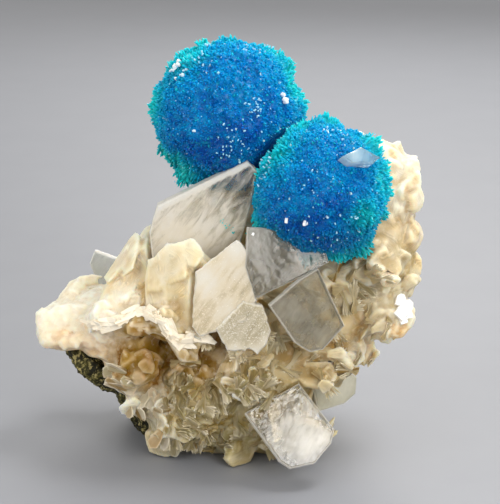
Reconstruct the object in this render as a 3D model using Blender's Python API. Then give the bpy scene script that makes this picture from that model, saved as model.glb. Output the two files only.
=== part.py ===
"""Cavansite on stilbite: two blue balls of crystals on a cluster of zeolite blades with a rind of basalt.

Run with: blender --background --python part.py
Solids are worked out in millimetres and stored in metres. +X is right, +Y is away from the front and
+Z is up. The origin is on the flat foot that the specimen rests on.
"""

import math
import random
from dataclasses import dataclass

import bmesh
import bpy
from mathutils import Matrix, Vector, noise

MM = 0.001

# Driving dimensions, in millimetres
GAP = 0.3
BALL_UPPER_RADIUS = 5.6
BALL_LOWER_RADIUS = 4.9
BALL_UPPER_CENTRE = Vector((-0.15, 2.4, 25.5))
BALL_LOWER_CENTRE = Vector((6.6, -2.9, 21.1))
BALL_POINTS = 620
BALL_SPIKE = 0.34
SOCKET_POINTS = 120
LUMP_POINTS = 18
LUMP_POINTS_PER_MM = 2.2
RIM_LEAN_DEG = 18.0
PLATE_BEVEL = 0.12
MERGE = 0.01
BLADE_LENGTH = (1.7, 3.1)
BLADE_WIDTH = (1.8, 3.2)
BLADE_THICKNESS = (0.45, 0.9)
BLADE_STAND_DEG = (15.0, 70.0)
FLOOR_SIDE = 80.0
SEED = 23


@dataclass
class Tuft:
    """A bunch of longer crystals on a ball.

    angle runs round the rim from +X, and forward tips it to the front.
    """

    angle: float
    forward: float
    height: float
    width: float


@dataclass
class Lump:
    """A rock-like ellipsoid, and the number of small blades spread over it.

    It is more like a box as square grows.
    """

    centre: tuple
    radii: tuple
    blades: int = 0
    lean: float = 0.0
    rough: float = 0.12
    square: float = 2.0


@dataclass
class Plate:
    """A big tabular crystal.

    Its outline is (right, up) about the centre, in the plane that facing points out of.
    """

    name: str
    centre: tuple
    facing: tuple
    thickness: float
    outline: list
    material: str = "clear"


UPPER_TUFTS = [
    Tuft(87, 0, 0.25, 10),
    Tuft(109, 0, 0.2, 10),
    Tuft(136, 0, 0.4, 14),
    Tuft(173, 0, 0.45, 12),
    Tuft(213, 0, 0.25, 12),
    Tuft(237, 5, 1.0, 11),
    Tuft(56, 0, 0.75, 11),
    Tuft(36, 0, 0.55, 9),
    Tuft(9, 0, 0.65, 10),
    Tuft(120, -50, 0.5, 14),
    Tuft(20, -55, 0.6, 15),
    Tuft(200, -60, 0.5, 14),
]
LOWER_TUFTS = [
    Tuft(84, 0, 0.8, 10),
    Tuft(41, 0, 0.95, 13),
    Tuft(17, 0, 0.6, 10),
    Tuft(-2, 0, 0.35, 9),
    Tuft(-22, 0, 0.3, 9),
    Tuft(-53, 0, 1.0, 13),
    Tuft(-75, 0, 0.5, 10),
    Tuft(-98, 0, 0.8, 9),
    Tuft(-140, 0, 0.6, 12),
    Tuft(-152, 0, 0.9, 9),
    Tuft(165, 0, 0.1, 12),
    Tuft(125, 0, 0.4, 12),
    Tuft(107, 0, 0.6, 11),
    Tuft(-30, 40, 0.3, 16),
    Tuft(60, -50, 0.5, 15),
]

BODY_LUMPS = [
    Lump((2.4, 0.8, 9.6), (6.8, 5.8, 7.0), blades=30),
    Lump((1.2, -3.0, 6.0), (5.4, 3.1, 4.6), blades=16),
    Lump((-0.4, 0.6, 3.1), (5.5, 5.0, 4.3), blades=16),
    Lump((2.8, -0.6, 2.3), (3.2, 3.6, 2.9), blades=3),
    Lump((-4.3, -0.9, 4.2), (2.6, 3.0, 3.6), blades=9),
    Lump((4.8, 1.4, 6.4), (3.5, 4.0, 3.4), blades=12),
    Lump((7.6, 1.2, 10.6), (3.5, 4.0, 3.0), blades=12),
    Lump((10.4, 0.9, 13.1), (2.4, 3.0, 2.4), blades=9),
    Lump((11.3, 1.2, 16.2), (2.5, 3.2, 3.0), blades=5, square=2.6),
    Lump((11.0, 1.7, 19.2), (2.4, 3.0, 2.6), blades=3, square=2.6),
    Lump((10.5, 2.4, 21.3), (2.3, 2.6, 2.2)),
    Lump((12.6, 1.5, 21.1), (1.3, 1.6, 1.4)),
    Lump((13.1, 1.2, 19.3), (1.2, 1.6, 1.3)),
    Lump((13.2, 1.1, 16.4), (1.4, 1.9, 1.6)),
    Lump((13.0, 0.9, 13.7), (1.5, 1.8, 1.4)),
    Lump((-2.2, 1.8, 13.9), (4.2, 4.2, 4.2), blades=15),
    Lump((1.4, 4.2, 16.4), (4.6, 3.2, 4.2), blades=12),
    Lump((-3.1, -2.8, 12.4), (3.0, 2.0, 4.0), blades=5, lean=-14),
    Lump((-5.4, 0.4, 9.6), (3.8, 4.0, 3.8), blades=12),
    Lump((-7.4, -0.4, 6.8), (2.4, 2.8, 2.4), blades=5),
    Lump((-9.2, 1.2, 9.2), (3.4, 3.6, 2.4), blades=7, square=2.6),
    Lump((-12.2, 1.4, 9.0), (2.4, 2.8, 1.7), square=3.0),
]
BASALT_LUMPS = [
    Lump((-10.2, 3.0, 5.9), (3.2, 4.2, 1.2), lean=41, square=4.0),
    Lump((-6.9, 3.1, 2.3), (3.4, 4.2, 1.3), lean=56, square=4.0),
    Lump((-4.6, 4.9, 3.6), (3.8, 3.0, 4.2), square=3.0),
    Lump((1.2, 6.2, 6.0), (6.0, 2.1, 5.8), square=3.0),
]
POCKETS = [
    Lump((-5.9, -5.0, 10.3), (2.3, 3.3, 2.2), lean=20),
    Lump((0.6, -7.7, 8.6), (3.4, 2.2, 1.6)),
    Lump((8.9, -5.6, 13.9), (1.6, 2.4, 2.4), lean=-30),
]

PLATES = [
    Plate(
        "tall_blade",
        (-2.0, -2.0, 17.0),
        (0.0, -1.0, 0.0),
        1.1,
        [
            (-3.3, 2.8),
            (3.3, 6.2),
            (4.0, 5.4),
            (3.5, 2.6),
            (2.9, 0.4),
            (1.8, -4.6),
            (-3.4, -4.6),
            (-3.9, 0.8),
        ],
    ),
    Plate(
        "cream_blade",
        (-0.2, -6.2, 14.0),
        (-0.12, -0.93, 0.30),
        0.9,
        [(-2.3, 1.8), (0.6, 4.2), (1.5, 3.4), (2.2, -0.1), (1.5, -1.6), (-1.8, -2.9), (-2.4, -2.2)],
        "cream",
    ),
    Plate(
        "scalloped_blade",
        (1.0, -6.9, 11.5),
        (0.10, -0.97, 0.05),
        0.7,
        [
            (-2.0, 0.5),
            (-1.2, -1.2),
            (0.1, -1.3),
            (0.4, -1.1),
            (1.0, -1.6),
            (1.7, -0.8),
            (2.0, 0.2),
            (1.4, 2.1),
            (0.0, 2.5),
        ],
        "cream",
    ),
    Plate(
        "clear_blade_upper",
        (3.2, -5.6, 16.2),
        (0.12, -0.93, 0.32),
        0.9,
        [(-1.8, 2.9), (-2.1, 0.0), (-1.5, -2.3), (1.8, -0.9), (4.0, 0.1), (3.6, 1.6), (1.7, 2.6)],
    ),
    Plate(
        "clear_blade_lower",
        (5.6, -6.7, 13.2),
        (0.22, -0.93, 0.20),
        0.9,
        [(-2.8, 0.6), (-0.5, 2.3), (0.9, 3.0), (2.7, -1.3), (1.0, -2.9), (0.0, -3.0), (-1.0, -2.3)],
    ),
    Plate(
        "foot_blade",
        (4.2, -7.8, 3.6),
        (0.10, -0.86, 0.50),
        1.0,
        [(-3.0, 2.0), (1.1, 4.0), (3.5, 0.5), (3.2, -0.5), (1.9, -1.9), (0.1, -2.2), (-0.7, -1.6)],
    ),
    Plate(
        "back_left_blade",
        (-9.2, 7.2, 12.0),
        (-0.10, -0.98, 0.10),
        0.8,
        [(-1.5, 1.2), (1.6, 0.2), (2.6, -3.4), (-0.4, -4.0), (-1.9, 0.2)],
    ),
    Plate(
        "rear_blade",
        (4.6, 7.6, 15.2),
        (0.30, 0.90, 0.25),
        0.9,
        [(-2.0, -3.6), (2.0, -3.6), (2.0, 2.2), (0.9, 3.6), (-1.1, 3.6), (-2.0, 2.4)],
    ),
    Plate(
        "rear_low_blade",
        (8.6, 6.0, 7.4),
        (0.62, 0.72, -0.15),
        0.9,
        [(-1.8, -3.0), (1.4, -3.4), (1.9, 1.2), (1.1, 2.8), (-1.0, 2.8), (-1.8, 1.4)],
    ),
    Plate(
        "right_low_blade",
        (8.1, -1.4, 4.9),
        (0.42, -0.84, 0.30),
        0.8,
        [(-2.2, 1.3), (0.1, 2.1), (1.7, 0.7), (1.4, -0.5), (0.3, -1.1), (-2.0, -1.3)],
    ),
    Plate(
        "ball_chip",
        (9.28, -5.68, 24.27),
        (0.45, -0.66, 0.60),
        0.9,
        [(-1.6, 0.3), (0.3, 0.75), (1.5, -0.3), (0.7, -0.65), (-1.1, -0.3)],
    ),
]

LEDGES = [
    Plate(
        "shield",
        (-3.9, -4.7, 13.6),
        (-0.28, -0.93, 0.20),
        1.3,
        [(-2.0, -2.6), (0.4, -3.4), (2.2, -2.6), (2.3, 2.4), (0.8, 3.9), (-1.3, 3.4), (-2.4, 1.2)],
    ),
    Plate(
        "left shoulder",
        (-6.5, -1.7, 14.2),
        (-0.50, -0.80, 0.32),
        1.2,
        [(-1.8, -1.9), (1.7, -2.3), (1.9, 1.4), (0.6, 2.4), (-1.2, 1.9)],
    ),
    Plate(
        "pocket rim left",
        (-7.6, -4.1, 11.9),
        (-0.20, -0.55, 0.80),
        0.9,
        [(-2.6, -0.9), (2.2, -1.3), (2.6, 0.6), (1.2, 1.9), (-1.9, 1.3)],
    ),
    Plate(
        "pocket rim right",
        (-4.1, -5.9, 10.9),
        (0.45, -0.85, 0.30),
        0.9,
        [(-1.3, 1.6), (0.3, -2.0), (1.7, -2.2), (1.6, 1.9), (-0.6, 2.4)],
    ),
    Plate(
        "wing tip",
        (-11.6, -1.0, 9.9),
        (-0.10, -0.72, 0.69),
        1.0,
        [(-3.2, 0.9), (-2.3, -1.5), (1.6, -1.3), (2.1, 1.0), (-0.6, 1.4), (-2.0, 1.1)],
    ),
    Plate(
        "lower middle",
        (1.0, -6.9, 7.6),
        (0.05, -0.62, 0.78),
        0.8,
        [(-1.6, 0.0), (-0.9, 1.4), (1.3, 1.7), (2.0, -0.6), (-0.3, -0.9)],
    ),
    Plate(
        "lower left fan",
        (-3.4, -5.3, 4.6),
        (-0.30, -0.90, 0.25),
        0.8,
        [(-1.7, -1.5), (0.3, -2.3), (1.9, -1.0), (1.5, 1.5), (-0.9, 1.9)],
    ),
    Plate(
        "right edge tip",
        (11.9, -1.6, 10.9),
        (0.35, -0.90, 0.25),
        0.8,
        [(-1.7, -0.9), (1.3, -1.3), (2.0, 0.2), (0.9, 1.5), (-1.3, 1.2)],
    ),
    Plate(
        "right low tip",
        (9.4, 1.4, 6.9),
        (0.30, -0.85, 0.40),
        0.8,
        [(-2.0, -0.6), (0.9, -1.1), (1.9, -0.2), (1.0, 1.0), (-1.6, 1.3)],
    ),
    Plate(
        "upper left tips",
        (-6.6, 1.6, 14.7),
        (-0.25, -0.95, 0.10),
        0.9,
        [(-1.2, -1.6), (1.6, -1.8), (1.7, 1.3), (0.5, 1.9), (-0.5, 1.2)],
    ),
]

COLOURS = {
    "cavansite": ((0.01, 0.20, 0.56), 0.35),
    "clear": ((0.82, 0.82, 0.78), 0.15),
    "cream": ((0.82, 0.75, 0.60), 0.40),
    "stilbite": ((0.74, 0.64, 0.46), 0.55),
    "basalt": ((0.07, 0.07, 0.05), 0.85),
}


def clear_scene():
    for old in list(bpy.data.objects):
        bpy.data.objects.remove(old)


def make_material(name):
    """A Principled material in one of the colours above."""
    colour, roughness = COLOURS[name]
    material = bpy.data.materials.new(name)
    material.use_nodes = True
    shader = material.node_tree.nodes["Principled BSDF"]
    shader.inputs["Base Color"].default_value = (*colour, 1.0)
    shader.inputs["Roughness"].default_value = roughness
    shader.inputs["Metallic"].default_value = 0.0
    material.diffuse_color = (*colour, 1.0)
    return material


def finish_mesh(bm, name):
    """The bmesh as a mesh with its faces pointing out."""
    bmesh.ops.recalc_face_normals(bm, faces=bm.faces)
    mesh = bpy.data.meshes.new(name)
    bm.to_mesh(mesh)
    bm.free()
    return mesh


def combine(base, others, operation):
    """The mesh that Blender's Boolean makes of base and the other meshes."""
    group = bpy.data.collections.new("operands")
    bpy.context.scene.collection.children.link(group)
    body = bpy.data.objects.new("combined", base)
    bpy.context.scene.collection.objects.link(body)
    for mesh in others:
        group.objects.link(bpy.data.objects.new("operand", mesh))
    modifier = body.modifiers.new("combine", "BOOLEAN")
    modifier.operation = operation
    modifier.solver = "EXACT"
    modifier.operand_type = "COLLECTION"
    modifier.collection = group
    bpy.context.view_layer.update()
    graph = bpy.context.evaluated_depsgraph_get()
    made = bpy.data.meshes.new_from_object(body.evaluated_get(graph))
    for used in [body, *group.objects]:
        bpy.data.objects.remove(used)
    bpy.data.collections.remove(group)
    return made


def largest_shell(mesh):
    """The mesh without the chips and closed bubbles that cutting can leave."""
    bm = bmesh.new()
    bm.from_mesh(mesh)
    bmesh.ops.dissolve_degenerate(bm, edges=bm.edges, dist=MERGE)
    left = set(bm.faces)
    shells = []
    while left:
        shell = {left.pop()}
        edge_of_shell = list(shell)
        while edge_of_shell:
            face = edge_of_shell.pop()
            near = {other for edge in face.edges for other in edge.link_faces} & left
            left -= near
            shell |= near
            edge_of_shell += near
        shells.append(shell)
    largest = max(shells, key=len)
    loose = [face for face in bm.faces if face not in largest]
    bmesh.ops.delete(bm, geom=loose, context="FACES")
    bmesh.ops.triangulate(bm, faces=bm.faces)
    bm.to_mesh(mesh)
    bm.free()
    return mesh


def grown(mesh, gap):
    """A copy of a mesh whose faces all stand out by about the gap."""
    bm = bmesh.new()
    bm.from_mesh(mesh)
    bm.normal_update()
    moves = [vert.normal * vert.calc_shell_factor() * gap for vert in bm.verts]
    for vert, move in zip(bm.verts, moves):
        vert.co += move
    return finish_mesh(bm, "grown")


def even_directions(count):
    """Unit vectors spread evenly over a sphere, along a golden-angle spiral."""
    golden = math.pi * (3.0 - math.sqrt(5.0))
    for i in range(count):
        height = 1.0 - 2.0 * (i + 0.5) / count
        ring = math.sqrt(1.0 - height * height)
        yield Vector((ring * math.cos(golden * i), ring * math.sin(golden * i), height))


def lump_matrix(lump):
    """Takes the unit sphere to the lump's ellipsoid."""
    size = Matrix.Diagonal((*lump.radii, 1.0))
    turn = Matrix.Rotation(math.radians(lump.lean), 4, "Y")
    return Matrix.Translation(lump.centre) @ turn @ size


def lump_mesh(lump):
    """A rock-like solid: an ellipsoid whose surface is broken up by noise."""
    bm = bmesh.new()
    for direction in even_directions(LUMP_POINTS + int(LUMP_POINTS_PER_MM * sum(lump.radii))):
        bm.verts.new(direction)
    bmesh.ops.convex_hull(bm, input=bm.verts)
    offset = Vector(lump.centre)
    for vert in bm.verts:
        reach = sum(abs(side) ** lump.square for side in vert.co) ** (-1.0 / lump.square)
        waves = noise.noise(vert.co * 2.1 + offset) + 0.6 * noise.noise(vert.co * 5.3 + offset)
        vert.co *= reach * (1.0 + lump.rough * waves)
    bmesh.ops.transform(bm, matrix=lump_matrix(lump), verts=bm.verts)
    return finish_mesh(bm, "lump")


def tuft_direction(tuft):
    """The tuft's direction: round a rim that leans back, then tipped to the front."""
    angle = math.radians(tuft.angle)
    forward = math.radians(tuft.forward)
    level = math.cos(forward)
    upright = Vector((math.cos(angle) * level, -math.sin(forward), math.sin(angle) * level))
    return Matrix.Rotation(math.radians(-RIM_LEAN_DEG), 3, "X") @ upright


def ball_mesh(centre, radius, tufts, seed, flat_axis, flat_at, points, spike, extra=0.0):
    """A ball of crystals: points on a sphere, raised into tufts and spikes.

    It is flat where it meets the other ball. With no spike and some extra, it is the socket that it sits in.
    """
    draw = random.Random(seed)
    bm = bmesh.new()
    for direction in even_directions(points):
        bm.verts.new(direction)
    bmesh.ops.convex_hull(bm, input=bm.verts)
    raised = [(tuft_direction(tuft), tuft.height, math.radians(tuft.width)) for tuft in tufts]
    for vert in bm.verts:
        direction = vert.co.normalized()
        reach = radius * (1.0 + 0.035 * noise.noise(direction * 2.4 + centre))
        for towards, height, width in raised:
            reach += height * math.exp(-((direction.angle(towards) / width) ** 2))
        reach += spike * draw.uniform(-1.0, 0.6) + extra
        towards_other = direction.dot(flat_axis)
        if towards_other > 0.0:
            reach = min(reach, flat_at / towards_other)
        vert.co = centre + direction * reach
    return finish_mesh(bm, "ball")


def ball_pair(points, spike, extra):
    """Both balls, parted by the plane on which their spheres would cross."""
    axis = BALL_LOWER_CENTRE - BALL_UPPER_CENTRE
    span = axis.length
    axis.normalize()
    crossing = (span**2 + BALL_UPPER_RADIUS**2 - BALL_LOWER_RADIUS**2) / (2.0 * span)
    half_gap = GAP / 2.0 - extra
    upper_at = crossing - half_gap
    lower_at = span - crossing - half_gap
    upper = ball_mesh(
        BALL_UPPER_CENTRE, BALL_UPPER_RADIUS, UPPER_TUFTS, SEED + 1, axis, upper_at, points, spike, extra
    )
    lower = ball_mesh(
        BALL_LOWER_CENTRE, BALL_LOWER_RADIUS, LOWER_TUFTS, SEED + 2, -axis, lower_at, points, spike, extra
    )
    return upper, lower


def plate_mesh(plate, bevel=0.0):
    """A tabular crystal: the outline extruded through its thickness, with its edges bevelled if asked."""
    facing = Vector(plate.facing).normalized()
    right = facing.cross(Vector((0.0, 0.0, -1.0))).normalized()
    up = right.cross(-facing) if right.cross(-facing).z > 0.0 else facing.cross(right)
    centre = Vector(plate.centre)
    bm = bmesh.new()
    front = [
        bm.verts.new(centre + right * x + up * z + facing * plate.thickness / 2.0) for x, z in plate.outline
    ]
    face = bm.faces.new(front)
    made = bmesh.ops.extrude_face_region(bm, geom=[face])
    back = [item for item in made["geom"] if isinstance(item, bmesh.types.BMVert)]
    bmesh.ops.translate(bm, verts=back, vec=-facing * plate.thickness)
    if bevel:
        bmesh.ops.recalc_face_normals(bm, faces=bm.faces)
        bmesh.ops.bevel(bm, geom=bm.edges[:], offset=bevel, segments=1, affect="EDGES", profile=0.5)
    return finish_mesh(bm, plate.name)


def plate_rooms(plates):
    """What each plate takes out of its neighbours: itself and the gap around it."""
    return [grown(plate_mesh(plate), GAP) for plate in plates]


def small_blade(root, along, across, length, width, thickness):
    """A small tabular crystal that stands on its root, with a blunt point like a roof."""
    through = along.cross(across).normalized()
    across = through.cross(along)
    shoulder = 0.72
    outline = [(-0.45, -0.3), (0.45, -0.3), (0.5, shoulder), (0.0, 1.0), (-0.5, shoulder * 0.9)]
    bm = bmesh.new()
    sides = []
    for side in (-0.5, 0.5):
        sides.append(
            [
                bm.verts.new(root + across * x * width + along * z * length + through * side * thickness)
                for x, z in outline
            ]
        )
    bm.faces.new(sides[0])
    bm.faces.new(sides[1])
    for i in range(len(outline)):
        j = (i + 1) % len(outline)
        bm.faces.new((sides[0][i], sides[0][j], sides[1][j], sides[1][i]))
    return finish_mesh(bm, "small blade")


def inside(lump, point, margin=1.0):
    """True if the point is within the lump's ellipsoid, grown by the margin."""
    return (lump_matrix(lump).inverted() @ point).length < margin


def blocked(point, lump):
    """True where no small blade stands.

    That is inside the mass, in a pocket, near the floor, a ball or a big crystal, and over the left corner of the
    tall blade.
    """
    if any(inside(other, point, 0.97) for other in BODY_LUMPS if other is not lump):
        return True
    if any(inside(other, point, 1.05) for other in POCKETS + BASALT_LUMPS):
        return True
    near_upper = (point - BALL_UPPER_CENTRE).length < BALL_UPPER_RADIUS + 0.9
    near_lower = (point - BALL_LOWER_CENTRE).length < BALL_LOWER_RADIUS + 0.9
    over_plate = any((point - Vector(plate.centre)).length < 2.4 for plate in PLATES)
    over_left_corner = point.x < -3.5 and point.z > 17.0
    return point.z < 1.0 or near_upper or near_lower or over_plate or over_left_corner


def druse():
    """The small blades: spread evenly over each lump, where nothing blocks them, and leaning all ways."""
    draw = random.Random(SEED)
    blades = []
    for lump in BODY_LUMPS:
        matrix = lump_matrix(lump)
        to_normal = matrix.to_3x3().inverted().transposed()
        for direction in even_directions(lump.blades):
            root = matrix @ direction
            normal = (to_normal @ direction).normalized()
            aside = normal.cross(Vector([draw.uniform(-1.0, 1.0) for _ in range(3)])).normalized()
            stand = math.radians(draw.uniform(*BLADE_STAND_DEG))
            twist = draw.uniform(-0.5, 0.5)
            length = draw.uniform(*BLADE_LENGTH)
            width = draw.uniform(*BLADE_WIDTH)
            thickness = draw.uniform(*BLADE_THICKNESS)
            if blocked(root, lump):
                continue
            along = normal * math.sin(stand) + aside * math.cos(stand)
            across = normal.cross(aside) + normal * twist
            across = (across - along * across.dot(along)).normalized()
            blades.append(small_blade(root, along, across, length, width, thickness))
    return blades


def floor_block():
    """A block whose top is the surface that the specimen rests on."""
    bm = bmesh.new()
    bmesh.ops.create_cube(bm, size=FLOOR_SIDE)
    bmesh.ops.translate(bm, verts=bm.verts, vec=(0.0, 0.0, -FLOOR_SIDE / 2.0))
    return finish_mesh(bm, "floor block")


def fused(lumps, extras=()):
    """Lumps and what grows on them, joined in one mesh."""
    meshes = [lump_mesh(lump) for lump in lumps]
    return combine(meshes[0], meshes[1:] + list(extras), "UNION")


def cut(mesh, cutters):
    return largest_shell(combine(mesh, cutters, "DIFFERENCE"))


def add_node(name, mesh, material):
    """Stores a finished solid as a node, in metres."""
    mesh.transform(Matrix.Scale(MM, 4))
    mesh.materials.clear()
    mesh.materials.append(material)
    mesh.name = name
    node = bpy.data.objects.new(name, mesh)
    bpy.context.scene.collection.objects.link(node)
    return node


def main():
    clear_scene()
    materials = {name: make_material(name) for name in COLOURS}

    for i, plate in enumerate(PLATES):
        mesh = plate_mesh(plate, PLATE_BEVEL)
        if i:
            mesh = cut(mesh, plate_rooms(PLATES[:i]))
        add_node(plate.name, mesh, materials[plate.material])

    upper, lower = ball_pair(BALL_POINTS, BALL_SPIKE, 0.0)
    upper = cut(upper, plate_rooms(PLATES))
    lower = cut(lower, plate_rooms(PLATES))
    ball_rooms = ball_pair(SOCKET_POINTS, 0.0, BALL_SPIKE * 0.6 + GAP + 0.05)

    basalt = cut(fused(BASALT_LUMPS), [floor_block(), *plate_rooms(PLATES)])
    basalt_room = grown(basalt, GAP)

    mass = fused(BODY_LUMPS)
    mass = combine(mass, [lump_mesh(pocket) for pocket in POCKETS], "DIFFERENCE")
    mass = combine(mass, [plate_mesh(ledge) for ledge in LEDGES] + druse(), "UNION")
    matrix = cut(mass, [floor_block(), basalt_room, *ball_rooms, *plate_rooms(PLATES)])

    add_node("cavansite_ball_upper", upper, materials["cavansite"])
    add_node("cavansite_ball_lower", lower, materials["cavansite"])
    add_node("basalt_rind", basalt, materials["basalt"])
    add_node("stilbite_matrix", matrix, materials["stilbite"])


main()
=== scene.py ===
"""The look of a cavansite specimen: needles, blades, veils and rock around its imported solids.

Lengths in the tables are in millimetres and the scene is in metres. +X is right, -Y is the front, +Z is up.
"""

import math
import random
from dataclasses import dataclass, fields

import bmesh
import bpy
import numpy as np
from bpy.props import FloatProperty, FloatVectorProperty, IntProperty, PointerProperty
from bpy.types import Operator, Panel, PropertyGroup
from mathutils import Matrix, Vector, kdtree, noise


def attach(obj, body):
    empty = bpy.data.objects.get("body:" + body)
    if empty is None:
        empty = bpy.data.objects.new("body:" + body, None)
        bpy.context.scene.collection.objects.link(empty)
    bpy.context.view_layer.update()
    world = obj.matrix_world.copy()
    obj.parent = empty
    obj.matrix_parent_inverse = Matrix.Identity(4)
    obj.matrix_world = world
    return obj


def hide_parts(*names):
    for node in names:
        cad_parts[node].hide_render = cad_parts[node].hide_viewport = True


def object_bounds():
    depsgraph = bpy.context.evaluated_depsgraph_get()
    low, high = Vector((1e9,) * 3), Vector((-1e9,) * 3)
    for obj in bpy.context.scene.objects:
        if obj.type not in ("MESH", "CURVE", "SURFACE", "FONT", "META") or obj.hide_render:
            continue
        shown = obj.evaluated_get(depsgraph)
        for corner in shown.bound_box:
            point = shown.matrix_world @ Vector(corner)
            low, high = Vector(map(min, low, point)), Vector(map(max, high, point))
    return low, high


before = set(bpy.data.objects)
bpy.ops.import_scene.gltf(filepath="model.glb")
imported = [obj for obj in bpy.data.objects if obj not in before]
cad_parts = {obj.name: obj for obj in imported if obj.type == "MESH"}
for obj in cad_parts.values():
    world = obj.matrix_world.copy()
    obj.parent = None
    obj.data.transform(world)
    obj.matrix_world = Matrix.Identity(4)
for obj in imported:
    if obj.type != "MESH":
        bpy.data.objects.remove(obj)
CAD_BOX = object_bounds()

bl_info = {
    "name": "Cavansite Specimen",
    "version": (1, 0, 0),
    "blender": (4, 5, 0),
    "location": "View3D > Sidebar > Cavansite",
    "description": "Builds a cavansite specimen on stilbite around its packed solids",
    "category": "Object",
}

MM = 0.001
BODY = "root"
BOX_LOW = np.array(CAD_BOX[0]) / MM - 0.3
BOX_HIGH = np.array(CAD_BOX[1]) / MM + 0.3

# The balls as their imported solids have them, and how far their tufts' rim leans back
UPPER_CENTRE = Vector((-0.15, 2.4, 25.5))
LOWER_CENTRE = Vector((6.6, -2.9, 21.1))
UPPER_RADIUS = 5.6
LOWER_RADIUS = 4.9
BALL_GAP = 0.15
RIM_LEAN = math.radians(18.0)
CORE_POINTS = 9000
# How wide the teal band along each ball's outline is: a painted glow of light through the thin crystals there
PAINTED_GLOW_WIDTH = math.radians(26.0)
# How uneven the balls are, and how fine their unevenness is
UNEVEN = 0.035
UNEVEN_SCALE = 2.4
# The teal sprinkle on the tall blade: how many crystals, where its line starts and how it runs
SPRINKLE = 22
SPRINKLE_START = (-0.6, -2.5, 18.8)
SPRINKLE_RUN = (0.85, 0.0, -1.05)
# The needles' length and how much longer they are in tufts, their width, and how far they fan out of a bunch
NEEDLE_LENGTH = 0.7
TUFT_LENGTH = 0.5
NEEDLE_WIDTH = (0.09, 0.2)
FAN = 3.2
# How unevenly the needles stand: their places, their lean, and how far their tips are sunk or raised
PLACE_SCATTER = 0.012
LEAN_SCATTER = 0.20
TIP_LIFT = (-0.16, 0.06)
# How far needles, cores and grains keep from the other ball and from the big blades
NEEDLE_GAP = 0.05
CORE_GAP = 0.2
GRAIN_GAP = 0.15
# Painted shade on a needle's foot, painted light on its tip and painted shade on the core, each against the
# needle's sides
FOOT_PAINTED_SHADE = 0.75
TIP_PAINTED_LIGHT = 1.15
CORE_PAINTED_SHADE = 0.8
# Of random numbers up to 1, the ones above this give pale needles
PALE_ABOVE = 0.992
# How far bunches are sunk or raised, and how far each drops from its middle to its edge
BUNCH_LIFT = (-0.14, 0.12)
BUNCH_DROP = 0.16
# How far the core lies under the surface, and how much deeper in tufts
CORE_DEPTH = 0.17
TUFT_DEPTH = 0.25
# Sizes of the scattered grains, and how deep the grains lie in the ball
GRAIN_SIZE = (0.03, 0.09)
GRAIN_DEPTH = 0.1
SMALL_GRAIN = (0.35, 0.70, 0.90)
LARGE_GRAIN = (0.90, 0.94, 0.96)

# The photograph's camera and the floor
CAMERA_AIM = Vector((1.5, 0.0, 15.46))
CAMERA_DISTANCE = 157.5
CAMERA_DOWN_DEG = 18.0
CAMERA_LENS = 150.0
CAMERA_SENSOR = 36.0
FLOOR_SIZE = 900.0
# The lights: name, place, size, watts and colour
LIGHTS = [
    ("key", (60.0, 10.0, 150.0), 60.0, 0.13, (1.0, 0.97, 0.92)),
    ("front", (70.0, -130.0, 80.0), 70.0, 0.12, (1.0, 0.98, 0.95)),
    ("fill", (-120.0, -80.0, 50.0), 120.0, 0.07, (1.0, 0.98, 0.94)),
    ("back", (20.0, 130.0, 80.0), 80.0, 0.07, (1.0, 0.97, 0.92)),
]


@dataclass
class Tuft:
    """A bunch of longer, greener crystals on a ball.

    angle runs round the rim from +X, and forward tips the bunch to the front.
    """

    angle: float
    forward: float
    height: float
    width: float


# angle, forward, height and width of each tuft
UPPER_TUFTS = [
    Tuft(87, 0, 0.25, 10),
    Tuft(109, 0, 0.2, 10),
    Tuft(136, 0, 0.4, 14),
    Tuft(173, 0, 0.45, 12),
    Tuft(213, 0, 0.25, 12),
    Tuft(237, 5, 1.0, 11),
    Tuft(56, 0, 0.75, 11),
    Tuft(36, 0, 0.55, 9),
    Tuft(9, 0, 0.65, 10),
    Tuft(120, -50, 0.5, 14),
    Tuft(20, -55, 0.6, 15),
    Tuft(200, -60, 0.5, 14),
    Tuft(126, 24, 0.0, 17),
    Tuft(172, 10, 0.0, 14),
    Tuft(232, 14, 0.0, 13),
    Tuft(22, 12, 0.0, 13),
]
LOWER_TUFTS = [
    Tuft(84, 0, 0.8, 10),
    Tuft(41, 0, 0.95, 13),
    Tuft(17, 0, 0.6, 10),
    Tuft(-2, 0, 0.35, 9),
    Tuft(-22, 0, 0.3, 9),
    Tuft(-53, 0, 1.0, 13),
    Tuft(-75, 0, 0.5, 10),
    Tuft(-98, 0, 0.8, 9),
    Tuft(-140, 0, 0.6, 12),
    Tuft(-152, 0, 0.9, 9),
    Tuft(165, 0, 0.1, 12),
    Tuft(125, 0, 0.4, 12),
    Tuft(107, 0, 0.6, 11),
    Tuft(-30, 40, 0.3, 16),
    Tuft(60, -50, 0.5, 15),
    Tuft(140, 24, 0.0, 22),
    Tuft(5, 20, 0.0, 14),
]

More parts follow.
